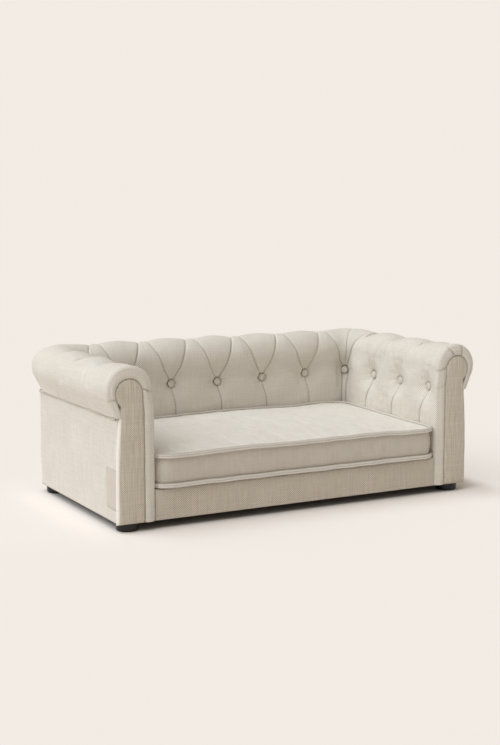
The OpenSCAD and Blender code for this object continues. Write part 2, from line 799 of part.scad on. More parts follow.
tag_t = 0.8;
module tag() {
    color("#d9c3b4") translate([-half_w - gap - tag_t, former_y, foot_h + tag_rise]) cube([tag_t, tag_w, tag_h]);
}

// Outline of the cushion drawn in by inset, with round corners and sides that pull in between them
corner_steps = 3;
side_steps = 9;
function cushion_ring(inset) =
    let (hx = cushion_x - inset, hy = cushion_hd - inset, r = max(cushion_r - inset, pipe_r))
    [for (c = [0 : 3]) let (sx = c == 0 || c == 3 ? 1 : -1, sy = c < 2 ? 1 : -1,
            middle = [sx * (hx - r), sy * (hy - r)],
            next = c == 0 ? [-(hx - r), hy] : c == 1 ? [-hx, -(hy - r)] : c == 2 ? [hx - r, -hy] : [hx, hy - r],
            pull = c == 0 ? [0, 0] : c == 1 ? [draw_in, 0] : c == 2 ? [0, draw_in] : [-draw_in, 0],
            end = middle + r * [cos(90 * (c + 1)), sin(90 * (c + 1))])
        each concat(
            [for (i = [0 : corner_steps]) let (a = 90 * (c + i / corner_steps)) middle + r * [cos(a), sin(a)]],
            [for (i = [1 : side_steps]) let (u = 2 * i / (side_steps + 1) - 1)
                mix(end, next, (u + 1) / 2) + pull * (1 - u * u)])];
function cushion_layer(inset, z) = [for (p = cushion_ring(inset)) [p[0], p[1] + cushion_y, z]];
crown_power = 2.6;
function crown_z(inset) =
    let (s = clamp((inset - edge_in) / (cushion_hd - edge_in), 0, 1))
    pipe_high + pipe_r + crown * (1 - pow(1 - s, crown_power));

// Cover of the cushion: flat below, a band that swells between the pipings, a crowned top
top_shares = [0.03, 0.1, 0.22, 0.4, 0.6, 0.8];
swell_share = 1.5;
seam_share = 0.8;
module cushion_cover() {
    low = deck_z + gap;
    mid = (pipe_low + pipe_high) / 2;
    layers = concat(
        [cushion_layer(edge_in + pipe_r, low), cushion_layer(edge_in + gap, low + gap),
            cushion_layer(edge_in, pipe_low), cushion_layer(band_in * swell_share, pipe_low + pipe_d * swell_share),
            cushion_layer(band_in, mid), cushion_layer(band_in * swell_share, pipe_high - pipe_d * swell_share),
            cushion_layer(edge_in, pipe_high), cushion_layer(edge_in + gap, pipe_high + pipe_r * seam_share)],
        [for (s = top_shares) let (inset = mix(edge_in, cushion_hd, s)) cushion_layer(inset, crown_z(inset))]);
    n = len(layers[0]);
    m = len(layers);
    points = concat(flat(layers), [[0, cushion_y, low], [0, cushion_y, crown_z(cushion_hd)]]);
    color("#cfc7b6") difference() {
        polyhedron(points = points, faces = concat(reversed_faces(skin_faces(m, n)),
            [for (i = [0 : n - 1]) [n * m, i, (i + 1) % n]],
            [for (i = [0 : n - 1]) [n * m + 1, (m - 1) * n + (i + 1) % n, (m - 1) * n + i]]), convexity = 4);
        foam_block(gap);
    }
}

module foam_block(slack) {
    x = cushion_x - core_in + slack;
    y = cushion_hd - core_in + slack;
    translate([-x, cushion_y - y, deck_z + pipe_r - slack])
        cube([2 * x, 2 * y, pipe_high - deck_z - pipe_r + 2 * slack]);
}

module cushion_core() {
    color("#e6dfb4") foam_block(0);
}

// Piping: a round cord along the cushion's outline
pipe_sides = 6;
module piping(z) {
    path = cushion_ring(pipe_r);
    n = len(path);
    points = [for (i = [0 : n - 1]) let (d = path[(i + 1) % n] - path[(i + n - 1) % n], out = [d[1], -d[0]] / norm(d))
        for (s = [0 : pipe_sides - 1]) let (a = 360 * (s + 0.5) / pipe_sides, q = path[i] + out * pipe_r * cos(a))
            [q[0], q[1] + cushion_y, z + pipe_r * sin(a)]];
    color("#cdc4b3") polyhedron(points = points, faces = [for (i = [0 : n - 1]) for (s = [0 : pipe_sides - 1])
        let (a = i * pipe_sides, b = ((i + 1) % n) * pipe_sides, t = (s + 1) % pipe_sides)
        each [[a + s, a + t, b + t], [a + s, b + t, b + s]]], convexity = 6);
}

module upper_piping() { piping(pipe_high); }
module lower_piping() { piping(pipe_low); }

// Zip at the back of the cushion
zip_y = cushion_rear - band_in + gap;
zip_z = (pipe_low + pipe_high) / 2;
tape_t = 1;
slider_w = 8;
slider_t = 2;
slider_h = 11;
pin_d = 1.3;
pin_room = 0.1;
pull_len = 18;
pull_w = 3.4;
pull_t = 1;
lug_t = 1;
eye_d = 2.4;
slider_x = zip_len / 2 - slider_w;
pin_y = zip_y + tape_t + gap + slider_t + eye_d / 2 + gap;
module zip_tape() {
    color("#b9af9e") translate([-zip_len / 2, zip_y, zip_z - zip_h / 2]) cube([zip_len, tape_t, zip_h]);
}

module zip_slider() {
    color("#a8a8a6") translate([-slider_x, 0, zip_z]) {
        translate([-slider_w / 2, zip_y + tape_t + gap, -slider_h / 2]) cube([slider_w, slider_t, slider_h]);
        for (side = [-1, 1])
            translate([side * (pull_w + 2 * pin_room + lug_t) / 2 - lug_t / 2, zip_y + tape_t + gap, -eye_d / 2])
                cube([lug_t, pin_y + eye_d / 2 - zip_y - tape_t - gap, eye_d]);
        translate([0, pin_y, 0]) rotate([0, 90, 0])
            cylinder(d = pin_d, h = pull_w + 2 * pin_room + lug_t, center = true);
    }
}

module zip_pull() {
    color("#a8a8a6") translate([-slider_x, pin_y, zip_z]) difference() {
        union() {
            rotate([0, 90, 0]) cylinder(d = eye_d, h = pull_w, center = true);
            translate([-pull_w / 2, -eye_d / 2, -pull_len]) cube([pull_w, pull_t, pull_len]);
        }
        rotate([0, 90, 0]) cylinder(d = pin_d + 2 * pin_room, h = pull_w + 2 * over, center = true);
    }
}

dust_cover();
foot_front_left();
foot_front_right();
foot_rear_left();
foot_rear_right();
foot_screws();
side_bottom_rail_left();
side_bottom_rail_right();
side_top_rail_left();
side_top_rail_right();
rear_post_left();
rear_post_right();
scroll_former_left();
scroll_former_right();
side_board_left();
side_board_right();
side_inner_board_left();
side_inner_board_right();
back_bottom_rail();
back_top_rail();
back_board();
back_inner_board();
roll_core_left();
roll_core_right();
roll_core_back();
seat_front_rail();
seat_rear_rail();
seat_side_rails();
seat_brace();
corner_blocks();
deck_panel();
deck_cloth();
apron();
frame_bolts();
arm_padding_left();
arm_padding_right();
corner_padding_left();
corner_padding_right();
back_padding();
facing_left();
facing_right();
side_cover_left();
side_cover_right();
rear_cover();
buttons_back();
buttons_left();
buttons_right();
tag();
cushion_cover();
cushion_core();
upper_piping();
lower_piping();
zip_tape();
zip_slider();
zip_pull();
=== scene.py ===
import json
import math

import bmesh
import bpy
import numpy as np
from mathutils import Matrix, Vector


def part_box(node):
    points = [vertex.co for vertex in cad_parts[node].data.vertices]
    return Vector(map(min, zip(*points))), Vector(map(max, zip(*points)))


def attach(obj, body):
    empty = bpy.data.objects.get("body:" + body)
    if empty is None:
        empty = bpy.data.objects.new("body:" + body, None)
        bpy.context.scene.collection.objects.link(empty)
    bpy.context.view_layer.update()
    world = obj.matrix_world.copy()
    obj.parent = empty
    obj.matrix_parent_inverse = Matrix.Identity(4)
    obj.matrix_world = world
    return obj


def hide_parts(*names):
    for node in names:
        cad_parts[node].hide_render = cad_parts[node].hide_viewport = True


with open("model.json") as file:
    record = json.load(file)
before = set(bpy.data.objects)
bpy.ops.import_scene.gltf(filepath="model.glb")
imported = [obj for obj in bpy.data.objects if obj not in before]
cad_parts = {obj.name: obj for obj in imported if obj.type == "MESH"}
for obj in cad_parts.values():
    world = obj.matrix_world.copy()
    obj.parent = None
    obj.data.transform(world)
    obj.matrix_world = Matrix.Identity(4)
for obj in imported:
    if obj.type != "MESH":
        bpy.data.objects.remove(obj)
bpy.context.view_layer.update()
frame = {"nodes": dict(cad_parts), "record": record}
slotOf = {part["node"]: part["material_slot"] for part in frame["record"]["subparts"]}
print("frame loaded")


def clip01(a):
    return np.clip(a, 0.0, 1.0)


def smooth(a):  # 0 below 0, 1 above 1, an S between
    a = clip01(a)
    return a * a * (3 - 2 * a)


def mixed(a, b, share):
    return a + (b - a) * share


def bell(gap, width):
    return np.exp(-(gap / width) ** 2)


def lengthAlong(x, y):  # length along a line of points, 0 at the first
    return np.concatenate([[0], np.cumsum(np.hypot(np.diff(x), np.diff(y)))])


# wander = sum of six plane waves of about the given size, seeded, from about -1 to 1
def wander(u, v, size, seed):
    dice = np.random.default_rng(seed)
    total = 0.0
    for _ in range(6):
        angle, phase = dice.uniform(0, 2 * math.pi, 2)
        pace = 2 * math.pi / size * dice.uniform(0.6, 1.5)
        total = total + np.sin(pace * (u * math.cos(angle) + v * math.sin(angle)) + phase)
    return total / 3.0


def spread(*parts):  # rows, columns and single values as one grid of points
    return np.stack(np.broadcast_arrays(*parts), axis=-1)


def cornersOf(grid):  # the four corners of each cell of a grid, in the order of a face
    return np.stack([grid[:-1, :-1], grid[:-1, 1:], grid[1:, 1:], grid[1:, :-1]], axis=2)


# faces of a grid of rows by cols points, counted row by row; a closed one joins its ends
def gridFaces(rows, cols, closeCols=False, closeRows=False):
    ids = np.arange(rows * cols).reshape(rows, cols)
    if closeCols:
        ids = np.hstack([ids, ids[:, :1]])
    if closeRows:
        ids = np.vstack([ids, ids[:1]])
    return cornersOf(ids).reshape(-1, 4)


# a mesh object from points and faces; uv is in metres, one for each point or for each face corner,
# and fold says for each point, from 0 to 1, how strongly the cloth shows its painted shade in folds,
# grooves and seams, and on the facing its painted highlight
def addMesh(name, points, faces, uv=None, shadeSmooth=True, fold=None, merge=False):
    used, inverse = np.unique(faces, return_inverse=True)
    tidy = inverse.reshape(faces.shape)
    mesh = bpy.data.meshes.new(name)
    mesh.from_pydata(points[used].tolist(), [], tidy.tolist())
    if uv is not None:
        layer = mesh.uv_layers.new(name="cloth")
        corners = uv.reshape(-1, 2) if uv.ndim == 3 else uv[faces.ravel()]
        layer.data.foreach_set("uv", corners.astype(np.float32).ravel())
    if fold is not None:
        folds = mesh.attributes.new("fold", "FLOAT", "POINT")
        folds.data.foreach_set("value", fold.ravel()[used].astype(np.float32))
    mesh.polygons.foreach_set("use_smooth", np.full(len(mesh.polygons), shadeSmooth))
    if merge:  # closes poles whose points lie on each other
        shape = bmesh.new()
        shape.from_mesh(mesh)
        bmesh.ops.remove_doubles(shape, verts=shape.verts, dist=1e-6)
        shape.to_mesh(mesh)
        shape.free()
    mesh.update()
    piece = bpy.data.objects.new(name, mesh)
    bpy.context.scene.collection.objects.link(piece)
    return piece


# points (rows, cols, 3) and uv (rows, cols, 2) as one mesh; closed joins its ends both ways, keep is a mask
# on the faces, and flip turns them round
def addGrid(name, points, uv, closed=False, keep=None, fold=None, flip=False):
    rows, cols = points.shape[:2]
    faces = gridFaces(rows, cols, closed, closed)
    if keep is not None:
        faces = faces[keep.ravel()]
    if fold is not None:
        fold = np.broadcast_to(fold, (rows, cols))
        fold = fold[:, ::-1] if flip else fold
    if flip:
        points, uv = points[:, ::-1], uv[:, ::-1]
    return addMesh(name, points.reshape(-1, 3), faces, uv.reshape(-1, 2), fold=fold)


def dress(piece, body, material, replaced=()):
    piece.data.materials.clear()
    piece.data.materials.append(material)
    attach(piece, body)
    if replaced:
        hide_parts(*replaced)


class Wire:  # one output of a node; sums on it add Math nodes
    def __init__(self, kit, socket):
        self.kit, self.socket = kit, socket

    def __add__(self, other):
        return self.kit.sum("ADD", self, other)

    def __radd__(self, other):
        return self.kit.sum("ADD", other, self)

    def __sub__(self, other):
        return self.kit.sum("SUBTRACT", self, other)

    def __rsub__(self, other):
        return self.kit.sum("SUBTRACT", other, self)

    def __mul__(self, other):
        return self.kit.sum("MULTIPLY", self, other)

    def __rmul__(self, other):
        return self.kit.sum("MULTIPLY", other, self)


class Kit:  # one material and its nodes
    def __init__(self, name):
        self.material = bpy.data.materials.new(name)
        self.material.use_nodes = True
        self.tree = self.material.node_tree
        self.shader = self.tree.nodes["Principled BSDF"]

    def node(self, kind, settings=None, inputs=None, out=0):
        made = self.tree.nodes.new(kind)
        for key, value in (settings or {}).items():
            setattr(made, key, value)
        for key, value in (inputs or {}).items():
            self.put(made.inputs[key], value)
        return Wire(self, made.outputs[out])

    def put(self, socket, value):
        if isinstance(value, Wire):
            self.tree.links.new(value.socket, socket)
        elif hasattr(value, "__len__") and len(value) == 3 and len(socket.default_value) == 4:
            socket.default_value = (*value, 1.0)
        else:
            socket.default_value = value

    def sum(self, operation, a, b):
        return self.node("ShaderNodeMath", {"operation": operation}, {0: a, 1: b})

    def sine(self, a):
        return self.node("ShaderNodeMath", {"operation": "SINE"}, {0: a})

    def held(self, a, low, high):  # low..high to 0..1, an S between
        return self.node("ShaderNodeMapRange", {"interpolation_type": "SMOOTHSTEP"},
                         {"Value": a, "From Min": low, "From Max": high})

    def split(self, vector):
        outs = self.node("ShaderNodeSeparateXYZ", None, {0: vector}).socket.node.outputs
        return [Wire(self, outs[i]) for i in range(3)]

    def joined(self, x, y, z=0.0):
        return self.node("ShaderNodeCombineXYZ", None, {0: x, 1: y, 2: z})

    def noise(self, vector, scale, detail=2.0, rough=0.5):
        return self.node("ShaderNodeTexNoise", None,
                         {"Vector": vector, "Scale": scale, "Detail": detail, "Roughness": rough})

    def place(self, onObject=False):  # the piece's own coordinates, or its UV map
        return self.split(self.node("ShaderNodeTexCoord", out=3 if onObject else 2))

    def blend(self, factor, a, b):  # colours a to b
        return self.node("ShaderNodeMix", {"data_type": "RGBA"}, {0: factor, 6: a, 7: b}, out=2)

    def bump(self, height, distance):
        return self.node("ShaderNodeBump", None, {"Height": height, "Distance": distance})

    def finish(self, colour=None, rough=None, normal=None, **plain):
        for key, value in (("Base Color", colour), ("Roughness", rough), ("Normal", normal)):
            if value is not None:
                self.put(self.shader.inputs[key], value)
        for key, value in plain.items():
            self.put(self.shader.inputs[key.replace("_", " ")], value)
        return self.material


# Woven cloth. u runs along the piece and v up it, in metres. The weave is the product of two sine waves,
# finer threads are the same at a third of the pitch, slubs are noise drawn out along warp and weft, and
# blotches are broad noise. folds says how much the colour goes over to
# foldColour where the piece's attribute fold is 1: painted shade in folds, grooves
# and seams, and a painted highlight on the facing's outer edge. stitchPitch adds a row of stitches along
# v = 0, with painted shade between the stitches
def clothMaterial(name, look):
    kit = Kit(name)
    u, v, _ = kit.place()
    turn = 2 * math.pi / look["pitch"]
    weave = kit.sine(u * turn) * kit.sine(v * turn)
    thread = kit.sine(u * (turn * look["fine"])) * kit.sine(v * (turn * look["fine"]))
    warp = kit.noise(kit.joined(u * look["slubAcross"], v * look["slubAlong"]), 1.0, 3.0, 0.6)
    weft = kit.noise(kit.joined(u * look["slubAlong"], v * look["slubAcross"]), 1.0, 2.0, 0.5)
    blotch = kit.noise(kit.joined(u, v), look["blotch"], 3.0, 0.55)
    tone = (0.5 + weave * look["weaveTone"] + thread * (look["weaveTone"] * 0.4)
            + (warp - 0.5) * look["warpTone"] + (weft - 0.5) * look["weftTone"]
            + (blotch - 0.5) * look["blotchTone"])
    colour = kit.blend(kit.held(tone, -0.1, 1.1), look["dark"], look["light"])
    flecks = kit.noise(kit.joined(u * look["fleckAcross"], v * look["fleckAlong"]), 1.0, 1.0)
    colour = kit.blend(kit.held(flecks, 0.70, 0.80) * look["fleck"], colour, look["fleckColour"])
    # painted shade in folds, grooves and seams, and on the facing a painted highlight: the colour goes over to
    # a set colour where the attribute fold is high
    if look.get("folds"):
        fold = kit.node("ShaderNodeAttribute", {"attribute_name": "fold"}, out=2)
        colour = kit.blend(fold * look["folds"], colour, look["foldColour"])
    height = (weave * 0.5 + thread * 0.3 + (warp - 0.5) * look["slubBump"]
              + (weft - 0.5) * (look["slubBump"] * 0.6))
    if look.get("stitchPitch"):
        row = 1.0 - kit.held(kit.sum("ABSOLUTE", v, 0.0), *look["stitchRow"])
        stitch = kit.held(kit.sine(u * (2 * math.pi / look["stitchPitch"])), -0.5, 0.2)
        height = height + row * (stitch * 1.6 - 1.2)
        # painted shade between the stitches: the row's dips take the dark fleck colour
        colour = kit.blend(row * (1.0 - stitch) * 0.55, colour, look["fleckColour"])
    return kit.finish(colour, look["rough"] + (blotch - 0.5) * 0.12, kit.bump(height, look["relief"]),
                      Sheen_Weight=look["sheen"], Sheen_Roughness=0.6, Specular_IOR_Level=0.25)


# what the cream cloths share; a piece changes only what differs
creamCloth = {
    "dark": (0.50, 0.450, 0.375), "light": (0.965, 0.925, 0.860),
    # the dark brown at the end of the next line is the painted shade of folds, grooves and seams
    "pitch": 0.0048, "fine": 3.0, "weaveTone": 0.34, "foldColour": (0.25, 0.180, 0.105),
    "slubAcross": 330.0, "slubAlong": 14.0, "warpTone": 0.50, "weftTone": 0.26,
    "blotch": 9.0, "blotchTone": 0.20, "fleck": 0.30, "fleckColour": (0.36, 0.29, 0.21),
    "fleckAcross": 420.0, "fleckAlong": 130.0, "stitchRow": (0.0002, 0.0009),
    "slubBump": 1.3, "relief": 0.00045, "rough": 0.86, "sheen": 0.08,
}


def cream(name, **changes):
    return clothMaterial(name, {**creamCloth, **changes})


# shaded: darker copies of the cream for the facings and the apron, which face the front: painted shade
shaded = {"dark": (0.400, 0.345, 0.265), "light": (0.820, 0.760, 0.665)}
stitched = {"pitch": 0.0034, "weaveTone": 0.14, "warpTone": 0.25, "stitchPitch": 0.0036}
cloth = {
    # painted shade in the creases, the button grooves and under the lip
    "tufted": cream("tufted linen", warpTone=0.30, weftTone=0.20, folds=0.8),
    "facing": cream("facing linen", warpTone=0.90, weaveTone=0.28, folds=0.75,
                    foldColour=(0.93, 0.89, 0.83), **shaded),  # light: a painted highlight on the facing's outer edge
    # painted shade in the tuck beside the facing
    "cover": cream("outer linen", warpTone=0.40, weaveTone=0.16, folds=0.75),
    "apron": cream("apron linen", warpTone=0.55, weaveTone=0.46, **shaded),
    # the cushion's cloth is lighter than the other cream pieces: painted light on its lit top; its band takes
    # painted shade
    "cushion": cream("cushion linen", warpTone=0.45, folds=0.45, foldColour=(0.42, 0.36, 0.28),
                     dark=(0.56, 0.51, 0.44), light=(0.985, 0.95, 0.89)),
    "band": cream("piping linen", **stitched),
    # the welt's cloth is lighter than the other cream: a painted highlight on the piping
    "welt": cream("welt linen", folds=0.8, foldColour=(0.40, 0.34, 0.26),
                  dark=(0.60, 0.55, 0.48), light=(0.97, 0.94, 0.885), **stitched),
    "button": cream("button linen", pitch=0.0026, weaveTone=0.16),
    "deck": cream("deck lining", pitch=0.0022, weaveTone=0.10,
                  dark=(0.30, 0.265, 0.22), light=(0.56, 0.51, 0.44)),
    "tag": cream("tag ribbon", pitch=0.0011, weaveTone=0.10, warpTone=0.10, weftTone=0.16,
                 slubAcross=900.0, fleck=0.0, relief=0.00012, sheen=0.3,
                 dark=(0.46, 0.395, 0.34), light=(0.72, 0.635, 0.56)),
    "dust": cream("black dust cloth", pitch=0.0019, weaveTone=0.3, fleck=0.0, sheen=0.05,
                  dark=(0.004, 0.004, 0.004), light=(0.035, 0.034, 0.032)),
    "tape": cream("zip tape", pitch=0.0016, weaveTone=0.2, dark=(0.36, 0.31, 0.25), light=(0.66, 0.60, 0.51)),
}


# Timber: growth bands are sine waves bent by noise drawn out along the piece, with fine pores on top;
# plies adds the layers of plywood as one more wave
def timberMaterial(name, lengthAxis, dark, light, bands, plies=0.0):
    kit = Kit(name)
    axes = kit.place(onObject=True)
    along = axes[lengthAxis]
    across, other = [axes[i] for i in range(3) if i != lengthAxis]
    bent = kit.noise(kit.joined(across * 14.0, other * 14.0, along * 1.6), 1.0, 3.0)
    grain = kit.sine((across + other * 0.6) * bands + bent * 16.0) * 0.5 + 0.5
    pores = kit.noise(kit.joined(across * 900.0, other * 900.0, along * 26.0), 1.0, 2.0)
    tone = grain * 0.55 + (pores - 0.5) * 0.7 + 0.2
    if plies:
        tone = tone + (kit.held(kit.sine(other * plies), -0.1, 0.1) - 0.5) * 0.2
    return kit.finish(kit.blend(kit.held(tone, 0.0, 1.0), dark, light), 0.62 + pores * 0.12,
                      kit.bump(pores + grain * 0.3, 0.0003), Specular_IOR_Level=0.35)


# Foam: open cells from a cell pattern, with broad uneven colour
def foamMaterial(name, dark, light):
    kit = Kit(name)
    x, y, z = kit.place(onObject=True)
    cells = kit.node("ShaderNodeTexVoronoi", None, {"Vector": kit.joined(x, y, z), "Scale": 620.0})
    broad = kit.noise(kit.joined(x, y, z), 14.0, 3.0)
    tone = cells * 0.9 + (broad - 0.5) * 0.6 + 0.1
    return kit.finish(kit.blend(kit.held(tone, 0.0, 1.0), dark, light), 0.95, kit.bump(cells, 0.0007),
                      Specular_IOR_Level=0.1)


# Metal: fine brushing along x, and rubbed patches of another tone
def metalMaterial(name, dark, light, rough):
    kit = Kit(name)
    x, y, z = kit.place(onObject=True)
    brushed = kit.noise(kit.joined(x * 240.0, y * 2600.0, z * 2600.0), 1.0, 2.0)
    rubbed = kit.noise(kit.joined(x, y, z), 190.0, 3.0)
    colour = kit.blend(kit.held(rubbed, 0.3, 0.7), dark, light)
    rough = rough + brushed * 0.14 - 0.07 + rubbed * 0.08
    return kit.finish(colour, rough, kit.bump(brushed, 0.00004), Metallic=1.0)


# Gloss black moulding: faint flow marks, and scuffs near the floor
def footMaterial():
    kit = Kit("gloss black moulding")
    x, y, z = kit.place(onObject=True)
    flow = kit.noise(kit.joined(x, y, z * 6.0), 46.0, 3.0)
    scuff = kit.held(kit.noise(kit.joined(x, y, z * 3.0), 330.0, 3.0), 0.58, 0.72)
    scuff = scuff * (1.0 - kit.held(z, 0.001, 0.007))
    colour = kit.blend(flow, (0.006, 0.006, 0.006), (0.016, 0.015, 0.014))
    colour = kit.blend(scuff * 0.5, colour, (0.09, 0.085, 0.08))
    return kit.finish(colour, 0.17 + flow * 0.10 + scuff * 0.4, kit.bump(flow, 0.00015),
                      Coat_Weight=0.08, Coat_Roughness=0.15, Specular_IOR_Level=0.3)


pine = {"dark": (0.50, 0.335, 0.185), "light": (0.80, 0.63, 0.42), "bands": 420.0}
plywood = {"dark": (0.52, 0.385, 0.245), "light": (0.74, 0.60, 0.43), "bands": 150.0, "plies": 2400.0}
hard = {
    "roll_foam": foamMaterial("dense foam", (0.47, 0.43, 0.30), (0.76, 0.71, 0.54)),
    "cushion_foam": foamMaterial("cushion foam", (0.62, 0.58, 0.44), (0.88, 0.85, 0.72)),
    "steel": metalMaterial("zinc plated steel", (0.42, 0.43, 0.44), (0.66, 0.66, 0.65), 0.34),
    "zip_metal": metalMaterial("nickel", (0.50, 0.47, 0.42), (0.78, 0.75, 0.70), 0.24),
    "foot_plastic": footMaterial(),
}
for axis, letter in enumerate("xyz"):
    hard["pine" + letter] = timberMaterial("pine along " + letter, axis, **pine)
for axis, letter in enumerate("xy"):
    hard["plywood" + letter] = timberMaterial("plywood along " + letter, axis, **plywood)


# timber's grain runs along the piece's longest side, plywood's along the longer one in plan
def finishNodes():
    for name, node in frame["nodes"].items():
        low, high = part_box(name)
        size = [b - a for a, b in zip(low, high)]
        key = slotOf[name]
        if key == "pine":
            key += "xyz"[int(np.argmax(size))]
        elif key == "plywood":
            key += "x" if size[0] > size[1] else "y"
        if key in hard:
            node.data.materials.clear()
            node.data.materials.append(hard[key])


finishNodes()
print("materials made")


sideBox, armBox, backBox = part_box("side_cover_right"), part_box("arm_padding_right"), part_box("back_padding")
halfWidth, rearY = sideBox[1][0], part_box("rear_cover")[1][1]
footH, seamZ = sideBox[0][2], sideBox[1][2]
innerX, frontY, deckZ = armBox[0][0], armBox[0][1], backBox[0][2]

# the sofa's own sizes in metres: as the solids have them, but the facing's head lies a little lower and
# the buttons' row is slightly uneven, after the photograph
sofa = {
    "armWall": halfWidth - innerX, "backWall": 0.070, "lipOut": 0.006, "cornerIn": 0.105, "cornerPower": 6.0,
    "rollR": 0.053, "rollRise": 0.056, "rollOver": 0.026, "rollTurn": math.radians(210), "blend": 0.052,
    "buttonZ": 0.247, "cornerTuft": 3, "armTufts": 3, "armPitch": 0.1175, "cornerShare": 0.285,
    "tuftDepth": 0.019, "armDepth": 0.0225, "frontButton": 0.056, "edgeR": 0.009,
    "headR": 0.032, "headIn": 0.0015, "headDown": 0.0065, "facingIn": 0.060, "waistIn": 0.006,
    "flare": 0.0037, "proud": 0.004, "shoulderDown": 0.045, "shoulderReach": 0.03,
    # how far each button sits above the row's line, from the middle of the back to the arm's front: 1 is
    # the right side, -1 the left
    "lifts": {1: (-0.004, -0.002, 0.001, 0.004, 0.004, 0.004, 0.004),
              -1: (-0.004, -0.001, 0.001, 0.004, 0.004, 0.004, 0.004)},
}
rollZ = seamZ + sofa["rollRise"]
rollN = sofa["rollOver"] - sofa["rollR"]
backPitch = (innerX + sofa["tuftDepth"]) / sofa["cornerTuft"]
centreX, centreY = halfWidth - sofa["cornerIn"], rearY - sofa["cornerIn"]
backEnd = centreX / backPitch
armStart = sofa["cornerTuft"] + sofa["cornerShare"]
lastTuft = sofa["cornerTuft"] + sofa["armTufts"]
armY1 = frontY + sofa["frontButton"] + (sofa["armTufts"] - 1) * sofa["armPitch"]
frontTuft = sofa["cornerTuft"] + 1 + (armY1 - frontY - sofa["edgeR"]) / sofa["armPitch"]
rollEnd = np.array([rollN - sofa["rollR"] * math.cos(sofa["rollTurn"]),
                    rollZ + sofa["rollR"] * math.sin(sofa["rollTurn"])])
lipPoint = np.array([sofa["lipOut"], seamZ])
lipLength = float(np.linalg.norm(lipPoint - rollEnd))
endT = rollZ + sofa["rollR"] * sofa["rollTurn"] + lipLength
headN, headZ = rollN + sofa["headIn"], rollZ - sofa["headDown"]
waistN = -sofa["waistIn"]
neckZ = headZ - math.sqrt(sofa["headR"] ** 2 - (waistN - headN) ** 2)


def turnAt(t):  # turn round the roll in radians, below 0 on the wall
    return (t - rollZ) / sofa["rollR"]


# section: up the wall to the roll, round it by rollTurn, then straight to the lip. t is the height on the
# wall and the length of cloth after it; n is the distance outward from the outer cover. Gives n, the
# height, and the way into the cloth along both
def sectionAt(t, wall):
    turn = turnAt(t)
    left = clip01((turn - sofa["rollTurn"]) * sofa["rollR"] / lipLength)
    turn = np.clip(turn, 0.0, sofa["rollTurn"])
    n = np.where(t <= rollZ, mixed(-wall, rollN - sofa["rollR"], smooth(1 - (rollZ - t) / sofa["blend"])),
                 rollN - sofa["rollR"] * np.cos(turn))
    z = np.where(t <= rollZ, t, rollZ + sofa["rollR"] * np.sin(turn))
    n, z = mixed(n, lipPoint[0], left), mixed(z, lipPoint[1], left)
    return n, z, mixed(np.cos(turn), -1.0, left), mixed(-np.sin(turn), 0.0, left)


# place along the arm of tuft k
def armLine(k):
    return np.where(k > sofa["cornerTuft"] + 1, armY1 - (k - sofa["cornerTuft"] - 1) * sofa["armPitch"],
                    mixed(centreY, armY1, (k - armStart) / (1 - sofa["cornerShare"])))


# plan: straight along the back, a superellipse round the corner, straight along the arm.
# k counts tufts from the middle of the back, na and nb are the distances outward on arm and back
def planAt(k, na, nb):
    corner = sofa["cornerTuft"]
    angle = np.where(k < corner, mixed(45.0, 90.0, clip01((corner - k) / (corner - backEnd))),
                     mixed(0.0, 45.0, clip01((armStart - k) / (armStart - corner))))
    c, s = np.cos(np.radians(angle)), np.sin(np.radians(angle))
    outside = clip01((na + sofa["armWall"]) / (sofa["armWall"] + sofa["rollOver"]))
    power = mixed(2.0, sofa["cornerPower"], outside)
    m = (np.maximum(c, 1e-6) ** power + np.maximum(s, 1e-6) ** power) ** (-1 / power)
    x = np.where(k <= backEnd, k * backPitch,
                 np.where(k >= armStart, halfWidth + na, centreX + (sofa["cornerIn"] + na) * c * m))
    y = np.where(k <= backEnd, rearY + nb,
                 np.where(k >= armStart, armLine(k), centreY + (sofa["cornerIn"] + nb) * s * m))
    return x, y


# the facing's inner edge at height z: up the leg, over a shoulder and round the head
def facingInner(z):
    reach = np.sqrt(np.maximum(sofa["headR"] ** 2 - (z - headZ) ** 2, 0))
    shoulder = smooth((z - headZ + sofa["shoulderDown"]) / sofa["shoulderReach"])
    return np.where(z > headZ, headN - reach, mixed(-sofa["facingIn"], headN - sofa["headR"], shoulder))


# how far in from the roll's skin the ring at the arm's front runs, to just under the facing
def ringReach(t):
    turn = np.clip(turnAt(t), 0, sofa["rollTurn"])
    left = clip01((t - endT + lipLength) / lipLength)
    dot = -sofa["headIn"] * np.cos(turn) - sofa["headDown"] * np.sin(turn)
    away = dot + np.sqrt(sofa["headR"] ** 2 - sofa["headIn"] ** 2 - sofa["headDown"] ** 2 + dot ** 2)
    onWall = facingInner(np.minimum(t, rollZ)) - sectionAt(np.minimum(t, rollZ), sofa["armWall"])[0]
    onRoll = mixed(sofa["rollR"] - away, tufts["ringAtLip"], left)
    return np.where(t <= rollZ, onWall, onRoll) + tufts["ringUnder"]


